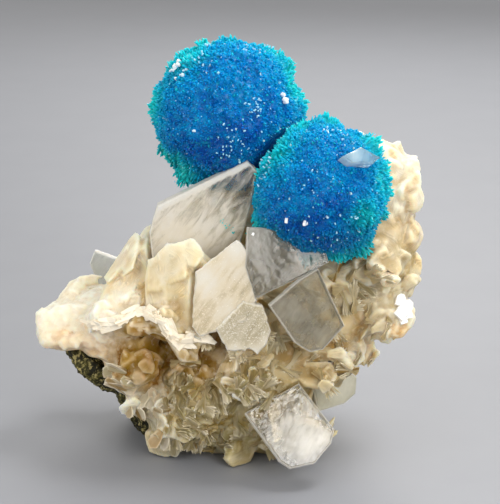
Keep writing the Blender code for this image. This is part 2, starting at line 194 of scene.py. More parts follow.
# Places on the balls where white grains lie thickly: where, how many, how widely and how large
UPPER_GRAINS = [
    ((-3.9, 1.1, 29.3), 9, 0.22, 0.24),
    ((-3.5, 0.1, 29.0), 7, 0.20, 0.20),
    ((-1.8, 1.9, 30.7), 5, 0.25, 0.16),
    ((-2.1, 0.0, 30.0), 8, 0.45, 0.12),
    ((-2.5, -2.8, 25.5), 1, 0.02, 0.24),
    ((4.1, -0.5, 27.4), 3, 0.14, 0.30),
    ((1.9, -2.5, 27.3), 26, 0.55, 0.12),
    ((0.2, -3.2, 24.5), 26, 0.60, 0.12),
    ((1.9, 2.4, 30.8), 10, 0.50, 0.13),
    ((3.4, 3.8, 30.4), 8, 0.40, 0.12),
]
LOWER_GRAINS = [
    ((4.0, -6.8, 20.2), 1, 0.02, 0.34),
    ((5.4, -7.4, 20.1), 2, 0.05, 0.26),
    ((7.3, -3.4, 26.0), 9, 0.40, 0.14),
    ((7.9, -4.3, 25.4), 8, 0.50, 0.12),
    ((5.7, -7.3, 23.2), 8, 0.60, 0.12),
    ((8.2, -7.4, 20.1), 9, 0.60, 0.14),
    ((2.6, -4.6, 23.2), 14, 0.60, 0.13),
]


@dataclass
class Plate:
    """A big tabular crystal.

    Its outline is (right, up) about the centre, in the plane that facing points out of.
    """

    name: str
    centre: tuple
    facing: tuple
    thickness: float
    outline: list
    kind: str = "clear"


PLATES = [
    Plate(
        "tall_blade", (-2.0, -2.0, 17.0), (0.0, -1.0, 0.0), 1.1,
        [(-3.3, 2.8), (3.3, 6.2), (4.0, 5.4), (3.5, 2.6), (2.9, 0.4), (1.8, -4.6), (-3.4, -4.6), (-3.9, 0.8)],
    ),
    Plate(
        "cream_blade", (-0.2, -6.2, 14.0), (-0.12, -0.93, 0.30), 0.9,
        [(-2.3, 1.8), (0.6, 4.2), (1.5, 3.4), (2.2, -0.1), (1.5, -1.6), (-1.8, -2.9), (-2.4, -2.2)],
        "cream",
    ),
    Plate(
        "scalloped_blade", (1.0, -6.9, 11.5), (0.10, -0.97, 0.05), 0.7,
        [
            (-2.0, 0.5), (-1.2, -1.2), (0.1, -1.3), (0.4, -1.1), (1.0, -1.6),
            (1.7, -0.8), (2.0, 0.2), (1.4, 2.1), (0.0, 2.5),
        ],
        "cream",
    ),
    Plate(
        "clear_blade_upper", (3.2, -5.6, 16.2), (0.12, -0.93, 0.32), 0.9,
        [(-1.8, 2.9), (-2.1, 0.0), (-1.5, -2.3), (1.8, -0.9), (4.0, 0.1), (3.6, 1.6), (1.7, 2.6)],
    ),
    Plate(
        "clear_blade_lower", (5.6, -6.7, 13.2), (0.22, -0.93, 0.20), 0.9,
        [(-2.8, 0.6), (-0.5, 2.3), (0.9, 3.0), (2.7, -1.3), (1.0, -2.9), (0.0, -3.0), (-1.0, -2.3)],
    ),
    Plate(
        "foot_blade", (4.2, -7.8, 3.6), (0.10, -0.86, 0.50), 1.0,
        [(-3.0, 2.0), (1.1, 4.0), (3.5, 0.5), (3.2, -0.5), (1.9, -1.9), (0.1, -2.2), (-0.7, -1.6)],
    ),
    Plate(
        "back_left_blade", (-9.2, 7.2, 12.0), (-0.10, -0.98, 0.10), 0.8,
        [(-1.5, 1.2), (1.6, 0.2), (2.6, -3.4), (-0.4, -4.0), (-1.9, 0.2)],
    ),
    Plate(
        "rear_blade", (4.6, 7.6, 15.2), (0.30, 0.90, 0.25), 0.9,
        [(-2.0, -3.6), (2.0, -3.6), (2.0, 2.2), (0.9, 3.6), (-1.1, 3.6), (-2.0, 2.4)],
    ),
    Plate(
        "rear_low_blade", (8.6, 6.0, 7.4), (0.62, 0.72, -0.15), 0.9,
        [(-1.8, -3.0), (1.4, -3.4), (1.9, 1.2), (1.1, 2.8), (-1.0, 2.8), (-1.8, 1.4)],
    ),
    Plate(
        "right_low_blade", (8.1, -1.4, 4.9), (0.42, -0.84, 0.30), 0.8,
        [(-2.2, 1.3), (0.1, 2.1), (1.7, 0.7), (1.4, -0.5), (0.3, -1.1), (-2.0, -1.3)],
    ),
    Plate(
        "ball_chip", (9.28, -5.68, 24.27), (0.45, -0.66, 0.60), 0.9,
        [(-1.6, 0.3), (0.3, 0.75), (1.5, -0.3), (0.7, -0.65), (-1.1, -0.3)],
    ),
]


class Value:
    """A socket that can be used in an expression, which adds the Math nodes that it needs."""

    def __init__(self, shader, socket):
        self.shader = shader
        self.socket = socket

    def maths(self, operation, *values):
        return self.shader.node("ShaderNodeMath", {"operation": operation}, dict(enumerate(values)))

    def __add__(self, other):
        return self.maths("ADD", self, other)

    def __radd__(self, other):
        return self.maths("ADD", other, self)

    def __sub__(self, other):
        return self.maths("SUBTRACT", self, other)

    def __rsub__(self, other):
        return self.maths("SUBTRACT", other, self)

    def __mul__(self, other):
        return self.maths("MULTIPLY", self, other)

    def __rmul__(self, other):
        return self.maths("MULTIPLY", other, self)

    def clamped(self):
        return self.shader.node("ShaderNodeClamp", {}, {"Value": self})

    def steps(self, low, high):
        """0 below low, 1 above high, and smooth between."""
        return self.shader.node(
            "ShaderNodeMapRange",
            {"interpolation_type": "SMOOTHSTEP"},
            {"Value": self, "From Min": low, "From Max": high},
        )


class Shader:
    """A new material and the nodes that make it."""

    def __init__(self, name):
        self.material = bpy.data.materials.new(name)
        self.material.use_nodes = True
        self.tree = self.material.node_tree
        self.tree.nodes.clear()
        self.output = self.tree.nodes.new("ShaderNodeOutputMaterial")

    def node(self, kind, settings, inputs, output=0):
        """Adds a node, sets its settings first and then its sockets, and gives one output as a Value."""
        made = self.tree.nodes.new(kind)
        for name, value in settings.items():
            setattr(made, name, value)
        for name, value in inputs.items():
            if isinstance(value, Value):
                self.tree.links.new(value.socket, made.inputs[name])
            else:
                made.inputs[name].default_value = value
        return Value(self, made.outputs[output])

    def mix(self, factor, a, b):
        """Mixes two colours."""
        inputs = {0: factor, 6: colour_of(a), 7: colour_of(b)}
        return self.node("ShaderNodeMix", {"data_type": "RGBA", "clamp_factor": True}, inputs, output=2)

    def scaled(self, colour, factor):
        """A colour made lighter or darker."""
        return self.node("ShaderNodeVectorMath", {"operation": "SCALE"}, {"Vector": colour, "Scale": factor})

    def noise(self, scale, detail=4.0, roughness=0.5, distortion=0.0, vector=None):
        """Noise from 0 to 1, over the object's own coordinates where no vector is given."""
        vector = vector or self.node("ShaderNodeTexCoord", {}, {}, output=3)
        inputs = {"Scale": scale, "Detail": detail, "Roughness": roughness, "Distortion": distortion}
        return self.node("ShaderNodeTexNoise", {}, {**inputs, "Vector": vector})

    def attribute(self, name, output=0):
        """What the mesh carries under a name: a colour, or with output 1 a vector and with 2 a number."""
        return self.node("ShaderNodeAttribute", {"attribute_name": name}, {}, output)

    def number(self, name):
        return self.attribute(name, 2)

    def bump(self, height, strength, distance):
        return self.node("ShaderNodeBump", {}, {"Height": height, "Strength": strength, "Distance": distance})

    def principled(self, inputs):
        return self.node("ShaderNodeBsdfPrincipled", {}, inputs)

    def blend(self, factor, first, second):
        """Goes from the first shader to the second as the factor goes from 0 to 1."""
        return self.node("ShaderNodeMixShader", {}, {0: factor, 1: first, 2: second})

    def done(self, surface, volume=None):
        self.tree.links.new(surface.socket, self.output.inputs["Surface"])
        if volume:
            self.tree.links.new(volume.socket, self.output.inputs["Volume"])
        return self.material


def colour_of(value):
    """A colour with its alpha, or the Value as it is."""
    return value if isinstance(value, Value) else (*value[:3], 1.0)


# Shapes


def even_directions(count):
    """Unit vectors spread evenly over a sphere, along a golden-angle spiral."""
    i = np.arange(count)
    height = 1.0 - 2.0 * (i + 0.5) / count
    ring = np.sqrt(1.0 - height**2)
    turn = i * math.pi * (3.0 - math.sqrt(5.0))
    return np.stack([ring * np.cos(turn), ring * np.sin(turn), height], axis=1)


def unit(vectors):
    return vectors / np.linalg.norm(vectors, axis=-1, keepdims=True)


def smooth_noise(points, scale, seed):
    """Blender's noise at each of many points."""
    shift = Vector((seed * 3.7, seed * 1.9, -seed * 2.3))
    return np.array([noise.noise(Vector(point) * scale + shift) for point in points])


def blended(a, b, weight):
    """a where the weight is 0, b where it is 1, and between them elsewhere."""
    return a * (1.0 - weight) + b * weight


def same_for_all(count, row):
    """The row, once for each of count things."""
    return np.ones((count, 1)) * np.array(row)


def tree_of(points):
    tree = kdtree.KDTree(len(points))
    for i, point in enumerate(points):
        tree.insert(Vector(point), i)
    tree.balance()
    return tree


def nearest_in(tree, points):
    """The number of the tree's nearest point to each of many points, and how far it is."""
    found = [tree.find(Vector(point)) for point in points]
    return np.array([item[1] for item in found]), np.array([item[2] for item in found])


def read_rows(items, name, size, kind=float):
    """One property of many mesh elements, with a row for each."""
    values = np.empty(len(items) * size, dtype=kind)
    items.foreach_get(name, values)
    return values.reshape(-1, size)


def put_tints(mesh, tints):
    """Gives the mesh a colour at each vertex, for its material to read."""
    layer = mesh.color_attributes.new("tint", "FLOAT_COLOR", "POINT")
    rgba = np.ones((len(tints), 4), dtype=np.float32)
    rgba[:, :3] = np.clip(tints, 0.0, 1.0)
    layer.data.foreach_set("color", rgba.ravel())


def put_numbers(mesh, name, values):
    """Gives the mesh a number at each vertex, for its material to read."""
    layer = mesh.attributes.new(name, "FLOAT", "POINT")
    layer.data.foreach_set("value", np.asarray(values).astype(np.float32))


def place_mesh(name, mesh, tints, node, material):
    """Colours a mesh and makes it a piece of the specimen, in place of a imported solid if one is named."""
    put_tints(mesh, tints)
    mesh.materials.clear()
    mesh.materials.append(material)
    piece = bpy.data.objects.new(name, mesh)
    bpy.context.scene.collection.objects.link(piece)
    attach(piece, BODY)
    if node:
        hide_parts(node)
    return piece


def mesh_piece(name, vertices, faces, tints, node, material):
    """A piece from vertices in millimetres, faces and a colour for each vertex."""
    mesh = bpy.data.meshes.new(name)
    mesh.from_pydata(np.asarray(vertices) * MM, [], faces)
    return place_mesh(name, mesh, tints, node, material)


def repeated_faces(faces, start, copies, size):
    """The faces of copies of a shape, each with size corners, that follow one another from start."""
    return [tuple(corner + start + i * size for corner in face) for i in range(copies) for face in faces]


def crystals(template, faces, origins, frames):
    """Copies of a template crystal. frames holds each one's three scaled axes as rows."""
    points = np.einsum("vk,nkj->nvj", template, frames) + origins[:, None, :]
    return points.reshape(-1, 3), repeated_faces(faces, 0, len(origins), len(template))


def frames_along(along, draw, length, width, thickness):
    """Axes for crystals that point along, each turned about its length at random."""
    helper = unit(draw.normal(size=along.shape))
    across = unit(np.cross(along, helper))
    through = np.cross(along, across)
    return np.stack([across * width[:, None], through * thickness[:, None], along * length[:, None]], axis=1)


# A needle with a chisel end: its foot and its shoulders are squares, and its tip is a point off the middle
SQUARE = ((-0.5, -0.5), (0.5, -0.5), (0.5, 0.5), (-0.5, 0.5))
NEEDLE = np.array([(x, y, z) for z in (0.0, 0.84) for x, y in SQUARE] + [(0.1, 0.0, 1.0)])
NEEDLE_FACES = [(3, 2, 1, 0)]
NEEDLE_FACES += [(i, (i + 1) % 4, (i + 1) % 4 + 4, i + 4) for i in range(4)]
NEEDLE_FACES += [(i + 4, (i + 1) % 4 + 4, 8) for i in range(4)]


def tuft_direction(tuft):
    """The tuft's direction: round a rim that leans back, then tipped to the front."""
    angle = math.radians(tuft.angle)
    forward = math.radians(tuft.forward)
    ring = math.cos(forward)
    flat = Vector((math.cos(angle) * ring, -math.sin(forward), math.sin(angle) * ring))
    return np.array(Matrix.Rotation(-RIM_LEAN, 3, "X") @ flat)


def plate_axes(plate):
    """The plate's centre and its right, up and facing axes."""
    facing = Vector(plate.facing).normalized()
    right = facing.cross(Vector((0.0, 0.0, -1.0))).normalized()
    up = right.cross(-facing)
    if up.z < 0.0:
        up = -up
    return Vector(plate.centre), right, up, facing


def near_plate(points, plate, margin):
    """Which of the points are within the plate's outline, grown by the margin."""
    centre, right, up, facing = plate_axes(plate)
    moved = points - np.array(centre)
    x = moved @ np.array(right)
    z = moved @ np.array(up)
    within = np.abs(moved @ np.array(facing)) < plate.thickness / 2.0 + margin
    sides = list(zip(plate.outline, plate.outline[1:] + plate.outline[:1]))
    area = sum(x0 * z1 - x1 * z0 for (x0, z0), (x1, z1) in sides)
    way_round = 1.0 if area > 0.0 else -1.0
    for (x0, z0), (x1, z1) in sides:
        length = math.hypot(x1 - x0, z1 - z0)
        inwards = way_round * ((x1 - x0) * (z - z0) - (z1 - z0) * (x - x0)) / length
        within &= inwards > -margin
    return within


@dataclass
class Ball:
    """A ball of needles.

    It stops at a flat plane where it meets the other ball. other is the way there and plane_at how far.
    """

    name: str
    node: str
    centre: Vector
    radius: float
    tufts: list
    other: Vector
    plane_at: float
    needles: int
    grains: list
    seed: int


def rosettes_of(ball):
    """The middles of the bunches that the needles stand in, and how far each bunch is raised."""
    count = bpy.context.scene.cavansite_sizes.rosettes
    draw = np.random.default_rng(ball.seed)
    middles = unit(even_directions(count) + draw.normal(scale=0.05, size=(count, 3)))
    return middles, draw.uniform(*BUNCH_LIFT, size=count)


def ball_surface(directions, ball):
    """For each direction: the ball's reach, how much of a tuft it is, and the middle of its bunch."""
    place = directions + np.array(ball.centre) / UNEVEN_SCALE
    reach = ball.radius * (1.0 + UNEVEN * smooth_noise(place, UNEVEN_SCALE, 0))
    tufty = np.zeros(len(directions))
    for tuft in ball.tufts:
        angle = np.arccos(np.clip(directions @ tuft_direction(tuft), -1.0, 1.0))
        bulge = np.exp(-((angle / math.radians(tuft.width)) ** 2))
        reach += tuft.height * bulge
        tufty = np.maximum(tufty, bulge)
    middles, lifts = rosettes_of(ball)
    index, away = nearest_in(tree_of(middles), directions)
    away = away * ball.radius
    spread = 0.75 * math.sqrt(4.0 * math.pi / len(middles)) * ball.radius
    dome = lifts[index] * (1.0 + 1.5 * tufty) - BUNCH_DROP * (away / spread) ** 2
    return reach + dome, tufty, middles[index]


def ball_tints(directions, tufty, draw, colours):
    """Deep blue over most of the ball, azure in patches, and teal in the tufts and along the rim.

    The teal along the rim is a painted glow of light through the thin crystals there, and the ball is
    painted more azure towards the top as painted light and darker towards the bottom as painted shade.
    """
    facing = np.array(Matrix.Rotation(-RIM_LEAN, 3, "X") @ Vector((0.0, -1.0, 0.0)))
    rim = np.exp(-((np.arcsin(np.clip(directions @ facing, -1.0, 1.0)) / PAINTED_GLOW_WIDTH) ** 2))
    broad = smooth_noise(directions, 2.2, 5)
    small = smooth_noise(directions, 9.0, 6)
    own = draw.random(len(directions))
    # Teal along the rim is a painted glow; the tufts and the odd teal needle are teal of their own
    green = 0.75 * tufty + 0.35 * rim * (0.7 + broad) + 0.35 * np.clip(small - 0.15, 0.0, 1.0)
    green = np.clip(green + 0.12 * (own - 0.5) + 0.45 * (own > 0.97), 0.0, 1.0)[:, None]
    # Painted light and shade: more azure towards the top of the ball and darker towards its bottom
    height = directions[:, 2]
    depth = np.clip(0.6 + 0.8 * broad + 0.9 * small - 0.6 * rim - 0.5 * height, 0.0, 1.0)[:, None]
    blue = blended(np.array(colours.blue), np.array(colours.deep), depth)
    shade = np.clip(1.0 + 0.5 * height, 0.7, 1.0)[:, None]
    return blended(blue, np.array(colours.teal), green) * shade


def needle_ball(ball, colours, material):
    """Short chisel-ended needles that fan out of the middle of each bunch and stand just proud of it."""
    draw = np.random.default_rng(ball.seed)
    place = np.array(ball.centre)
    away = np.array(ball.other)
    count = ball.needles
    directions = unit(even_directions(count) + draw.normal(scale=PLACE_SCATTER, size=(count, 3)))
    reach, tufty, middles = ball_surface(directions, ball)
    fan = directions - middles * np.sum(directions * middles, axis=1, keepdims=True)
    along = unit(directions + fan * FAN + draw.normal(scale=LEAN_SCATTER, size=(count, 3)))
    jitter = draw.uniform(*TIP_LIFT, size=count) * (1.0 + 1.6 * tufty)
    tips = directions * (reach + jitter)[:, None]
    length = NEEDLE_LENGTH + TUFT_LENGTH * tufty
    start = tips - along * length[:, None]
    keep = (tips @ away < ball.plane_at - NEEDLE_GAP) & (tips[:, 2] + place[2] > 0.2)
    for plate in PLATES:
        keep &= ~near_plate(tips + place, plate, NEEDLE_GAP)
        keep &= ~near_plate(tips * 0.5 + start * 0.5 + place, plate, NEEDLE_GAP)
    width = draw.uniform(*NEEDLE_WIDTH, size=count)
    frames = frames_along(along, draw, length, width, width * draw.uniform(0.45, 0.9, size=count))
    points, faces = crystals(NEEDLE, NEEDLE_FACES, (start + place)[keep], frames[keep])
    body = ball_tints(directions, tufty, draw, colours)[keep]
    body *= draw.uniform(0.86, 1.14, size=(len(body), 1))
    pale = draw.random(len(body)) > PALE_ABOVE
    body[pale] = np.array(colours.pale)
    # Each needle is darker at its foot as painted shade and lighter at its tip as painted light
    tints = np.stack([body * FOOT_PAINTED_SHADE] * 4 + [body] * 4 + [body * TIP_PAINTED_LIGHT + 0.01], axis=1)
    tints = tints.reshape(-1, 3)
    return mesh_piece(ball.name + "_needles", points, faces, tints, ball.node, material)


def ball_core(ball, colours, material):
    """The solid middle that the needles stand on, with the bunches as low domes."""
    directions = even_directions(CORE_POINTS)
    bm = bmesh.new()
    for direction in directions:
        bm.verts.new(direction)
    bm.verts.index_update()
    bmesh.ops.convex_hull(bm, input=bm.verts)
    faces = [tuple(corner.index for corner in face.verts) for face in bm.faces]
    bm.free()
    reach, tufty, _ = ball_surface(directions, ball)
    reach = reach - CORE_DEPTH - TUFT_DEPTH * tufty
    towards = directions @ np.array(ball.other)
    stop = np.where(towards > 0.01, (ball.plane_at - CORE_GAP) / np.maximum(towards, 0.01), reach)
    reach = np.minimum(reach, stop)
    points = directions * reach[:, None] + np.array(ball.centre)
    # The core is darker, as painted shade under the needles
    tints = ball_tints(directions, tufty, np.random.default_rng(ball.seed), colours) * CORE_PAINTED_SHADE
    return mesh_piece(ball.name + "_core", points, faces, tints, ball.node, material)


def ball_grains(ball, material):
    """Tiny white grains that lie on the ball, thickly in a few places."""
    draw = np.random.default_rng(ball.seed + 100)
    directions = [draw.normal(size=(bpy.context.scene.cavansite_sizes.grains, 3))]
    sizes = [draw.uniform(*GRAIN_SIZE, size=len(directions[0]))]
    for place, count, spread, size in ball.grains:
        towards = np.array(Vector(place) - ball.centre)
        directions.append(towards + draw.normal(scale=spread, size=(count, 3)))
        sizes.append(draw.uniform(0.6, 1.1, size=count) * size)
    directions = unit(np.concatenate(directions))
    sizes = np.concatenate(sizes)
    reach, _, _ = ball_surface(directions, ball)
    origins = directions * (reach - GRAIN_DEPTH)[:, None] + np.array(ball.centre)
    keep = directions @ np.array(ball.other) * reach < ball.plane_at - CORE_GAP
    for plate in PLATES:
        keep &= ~near_plate(origins, plate, GRAIN_GAP)
    along = unit(directions + draw.normal(scale=0.5, size=directions.shape))
    frames = frames_along(along, draw, sizes * 1.6, sizes, sizes * 0.7)
    template, faces = tablet_template()
    points, every_face = crystals(template, faces, origins[keep], frames[keep])
    large = np.clip((sizes[keep] - 0.12) / 0.1, 0.0, 1.0)[:, None]
    tints = blended(np.array(SMALL_GRAIN), np.array(LARGE_GRAIN), large)
    tints = np.repeat(tints, len(template), axis=0)
    return mesh_piece(ball.name + "_grains", points, every_face, tints, ball.node, material)


def teal_sprinkle(colours, material):
    """A short line of tiny teal crystals on the face of the tall blade."""
    draw = np.random.default_rng(5)
    count = SPRINKLE
    step = draw.random(count)
    origins = np.array(SPRINKLE_START) + np.array(SPRINKLE_RUN) * step[:, None]
    origins[:, [0, 2]] += draw.normal(scale=0.1, size=(count, 2))
    along = unit(np.array((0.0, -1.0, 0.2)) + draw.normal(scale=0.7, size=(count, 3)))
    size = draw.uniform(0.04, 0.09, size=count)
    frames = frames_along(along, draw, size * 1.4, size, size * 0.8)
    points, faces = crystals(NEEDLE, NEEDLE_FACES, origins, frames)
    tints = same_for_all(len(points), colours.teal)
    return mesh_piece("teal_sprinkle", points, faces, tints, None, material)


# Zeolite


@dataclass
class Patch:
    """A part of the zeolite that has a colour of its own, which low down is partly painted shade: a soft ball
    of space and how strongly it colours.
    """

    centre: tuple
    radius: float
    colour: str
    strength: float = 1.0


PATCHES = [
    Patch((-11.5, -0.5, 9.6), 4.4, "white", 0.9),
    Patch((-8.5, -3.2, 12.2), 2.2, "white", 1.0),
    Patch((-12.9, -1.6, 8.5), 1.2, "orange", 0.5),
    Patch((-11.2, -2.0, 8.3), 1.2, "orange", 0.5),
    Patch((-9.6, -2.6, 7.9), 1.3, "orange", 0.6),
    Patch((-8.4, -2.8, 7.4), 1.2, "orange", 0.8),
    Patch((-6.6, -2.8, 5.2), 3.2, "white", 1.0),
    Patch((-5.4, -3.6, 3.4), 1.8, "white", 0.8),
    Patch((-5.8, -5.0, 10.6), 2.2, "honey", 1.0),
    Patch((-6.2, -3.8, 8.2), 2.2, "honey", 1.0),
    Patch((-4.4, -5.2, 8.6), 2.0, "honey", 0.8),
    Patch((-2.4, -4.2, 8.8), 2.2, "honey", 0.8),
    Patch((-1.6, -5.8, 7.0), 2.4, "honey", 1.0),
    Patch((0.4, -5.4, 9.6), 2.0, "honey", 0.4),
    Patch((3.6, -4.8, 9.4), 2.4, "olive", 0.5),
    Patch((6.6, -4.2, 8.6), 3.0, "olive", 0.15),
    Patch((8.6, -1.6, 14.2), 2.2, "olive", 0.1),
    Patch((11.0, -1.6, 17.0), 1.6, "honey", 0.5),
    Patch((13.0, -0.6, 14.6), 2.2, "olive", 0.5),
    Patch((10.2, -2.0, 10.4), 2.2, "olive", 0.15),
    Patch((12.7, -1.6, 9.4), 0.8, "orange", 1.0),
    Patch((-6.7, 1.0, 16.0), 3.0, "white", 0.2),
    Patch((-4.7, -4.7, 15.6), 1.6, "olive", 0.2),
    Patch((-3.4, -5.6, 12.6), 1.6, "olive", 0.15),
    # Low down, olive that is partly the zeolite's own and partly painted shade on its underside
    Patch((-1.4, -5.8, 4.2), 2.8, "olive", 0.9),
    Patch((-5.4, -2.6, 2.0), 2.2, "olive", 0.6),
    Patch((0.4, -5.0, 1.6), 3.2, "olive", 0.8),
    Patch((5.0, -3.6, 4.4), 3.0, "olive", 0.7),
    Patch((0.6, -7.2, 7.8), 1.5, "white", 0.6),
    Patch((12.6, 1.0, 20.5), 3.0, "white", 0.5),
    Patch((0.0, 6.5, 8.0), 4.5, "honey", 0.4),
    Patch((6.0, 6.0, 12.0), 3.5, "olive", 0.4),
]


def zeolite_tints(points, colours):
    """The zeolite's own colour at each point."""
    tint = same_for_all(len(points), colours.cream)
    wander = 0.3 * smooth_noise(points, 0.55, 3)
    for patch in PATCHES:
        distance = np.linalg.norm(points - np.array(patch.centre), axis=1) / patch.radius
        near = np.minimum(1.5 * np.exp(-((distance * (1.0 + wander)) ** 2)), 1.0)
        weight = patch.strength * near[:, None]
        tint = blended(tint, np.array(getattr(colours, patch.colour)), weight)
    return tint


# Which crystals grow where: each spot takes the habit of the nearest of these points
REGIONS = {
    "sugar": [
        (-13.6, -0.4, 9.8), (-11.2, -1.4, 9.4), (-12.0, 3.0, 9.6),
        (-9.4, -2.6, 10.6), (12.8, -1.4, 11.6), (12.2, -1.6, 9.6),
    ],
    "rim": [(-9.0, -3.6, 12.4), (-6.8, -4.6, 13.0), (-5.0, -6.6, 12.6), (-3.9, -6.9, 11.0)],
    "hollow": [(-5.9, -4.6, 10.6), (-5.6, -3.2, 8.2)],
    "bare": [(-9.2, -1.6, 5.6), (-8.2, -1.4, 4.0), (-7.4, -1.6, 2.2), (-5.0, 3.2, 18.6)],
    "plates": [
        (-6.7, 1.3, 16.0), (-7.6, -1.4, 14.6), (-4.9, -4.6, 15.2), (-3.0, -5.8, 13.4),
        (-3.4, 3.6, 17.0), (-6.0, 5.0, 12.0), (1.0, 6.6, 17.0),
    ],
    "leaves": [(-7.6, -2.0, 6.4), (-5.8, -3.2, 4.4), (-5.6, -2.6, 1.6)],
    "fans": [(-3.2, -5.6, 5.6), (-1.0, -5.2, 3.2), (0.8, -7.2, 7.4), (-4.4, 4.4, 4.4), (2.6, -3.8, 2.2)],
    "sheaves": [
        (-2.2, -4.2, 9.0), (0.4, -4.8, 9.6), (3.2, -5.4, 9.4), (6.4, -4.8, 9.4), (4.6, -4.4, 5.6),
        (8.8, -2.0, 7.0), (9.0, -1.6, 13.6), (10.8, -2.2, 10.6), (5.6, 6.0, 8.0), (0.4, 6.6, 9.0),
    ],
    "lobes": [
        (12.2, 2.4, 22.4), (13.2, 0.6, 20.4), (13.4, 0.2, 17.6),
        (13.6, -0.6, 14.4), (11.2, -1.4, 17.4), (10.8, 4.4, 17.0),
    ],
}
REGION_HABITS = [habit for habit, centres in REGIONS.items() for _ in centres]
REGION_TREE = tree_of([centre for centres in REGIONS.values() for centre in centres])


@dataclass
class Habit:
    """How the crystals of one habit look. Lengths are in millimetres and angles in degrees.

    lean runs from 0, straight out, to 90, flat on the surface. upward and away are how far the crystals
    turn to point up and to point away from the heart of the cluster. proud is the part of each that stands
    out of the mass, root is the colour of its root against its tip, a darkening towards the root that is
    partly the crystal's own tone and partly painted shade, rim is how white its edge is, partly a milky edge
    and partly painted light, and milk how milky it is. The crystals stand in bunches that share a root and
    spread by an angle.
    """

    count: int
    length: tuple
    width: tuple
    thickness: tuple
    lean: tuple
    upward: float
    away: float
    proud: float
    root: tuple
    rim: float
    milk: float
    bunch: int = 1
    spread: float = 0.0


HABITS = {
    "sugar": Habit(
        900, (0.6, 1.3), (0.5, 1.0), (0.22, 0.3), (74, 89), 0.5, 0.8, 0.15, (0.98, 0.94, 0.88), 0.15, 1.0
    ),
    "rim": Habit(
        40, (0.8, 1.4), (0.8, 1.4), (0.22, 0.34), (70, 86), 0.2, 0.6, 0.3, (0.97, 0.94, 0.88), 0.4, 1.0
    ),
    "bare": Habit(
        1, (0.6, 0.9), (0.5, 0.8), (0.2, 0.3), (84, 89), 0.0, 0.0, 0.1, (1.0, 1.0, 1.0), 0.0, 0.9
    ),
    "hollow": Habit(
        60, (1.0, 1.8), (1.0, 1.6), (0.3, 0.5), (82, 89), 0.2, 0.3, 0.3, (0.80, 0.66, 0.46), 0.0, 1.0
    ),
    "leaves": Habit(
        120, (1.4, 2.6), (0.8, 1.5), (0.2, 0.3), (80, 89), 0.1, 1.2, 0.5, (0.94, 0.89, 0.74), 0.2, 0.8
    ),
    "plates": Habit(
        260, (2.4, 4.6), (1.2, 2.4), (0.2, 0.26), (86, 89), 3.0, 0.4, 0.3, (0.94, 0.88, 0.74), 0.25, 0.95
    ),
    "fans": Habit(
        90, (1.4, 2.4), (1.0, 1.6), (0.2, 0.3), (82, 89), 0.1, 1.8, 0.3, (0.72, 0.62, 0.40), 0.2, 0.85
    ),
    "sheaves": Habit(
        90, (1.6, 2.6), (0.6, 1.2), (0.2, 0.3), (84, 89), 0.1, 1.8, 0.3, (0.74, 0.60, 0.38), 0.2, 0.9
    ),
    "lobes": Habit(
        120, (1.2, 2.2), (1.2, 2.0), (0.6, 0.9), (78, 89), 0.4, 0.4, 0.34, (0.88, 0.78, 0.62), 0.2, 0.9
    ),
}
# Thin crystals that stand out of the mass on their own
LOOSE_HABITS = {
    "leaves": Habit(
        60, (1.0, 2.0), (0.5, 1.0), (0.06, 0.08), (74, 88), 0.3, 1.2, 0.7, (0.95, 0.91, 0.80), 0.15, 0.65,
        bunch=3, spread=40,
    ),
    "fans": Habit(
        1400, (1.2, 2.6), (0.12, 0.36), (0.06, 0.09), (82, 89), 0.1, 1.4, 0.6, (0.84, 0.74, 0.50), 0.1, 0.5,
        bunch=10, spread=50,
    ),
}
FIBROUS_HABITS = {
    "sheaves": Habit(
        1700, (1.2, 2.8), (0.12, 0.34), (0.06, 0.09), (84, 89), 0.1, 1.4, 0.6, (0.90, 0.80, 0.56), 0.1, 0.55,
        bunch=10, spread=46,
    ),
}
# The middle of the cluster, and how ragged the ends of the crystals are
HEART = np.array((1.5, 1.0, 10.5))
RAGGED = 0.06
# How many different shapes the crystals have, and where the seeds of the mass's shapes start
SHAPES = 6
MASS_SEED = 310
# How many spots are tried on the zeolite's surface
SURFACE_SAMPLES = 24000
# How many rounds of smoothing find the small and the broad hollows
SMALL_ROUNDS = 6
BROAD_ROUNDS = 150
# The most triangles that a remeshed piece may have, and how finely the core and the rock are remeshed
MOST_TRIANGLES = 190000
CORE_VOXEL = 0.3
ROCK_VOXEL = 0.14
# What the zeolite's colour is multiplied by: painted shade between its crystals and in its hollows, and its
# own honey tone in its core
PAINTED_SHADE_BETWEEN_CRYSTALS = (0.86, 0.76, 0.58)
PAINTED_HOLLOW_SHADE = (0.66, 0.48, 0.22)
CORE_TINT = (0.80, 0.66, 0.44)
# How far the crystals keep from the basalt
BASALT_REACH = 2.1
BASALT_SAMPLES = 1500
# How far the zeolite's small crystals keep from the floor, the balls and the big blades
FLOOR_GAP = 0.03
BALL_CLEAR = 0.35
BLADE_CLEAR = 0.12
# How high on the zeolite the lowest crystals grow
LOWEST_SPOT = 1.0
# How unevenly the crystals of a bunch are turned and twisted
TURN_SCATTER = 3.0
TWIST_SCATTER = 7.0

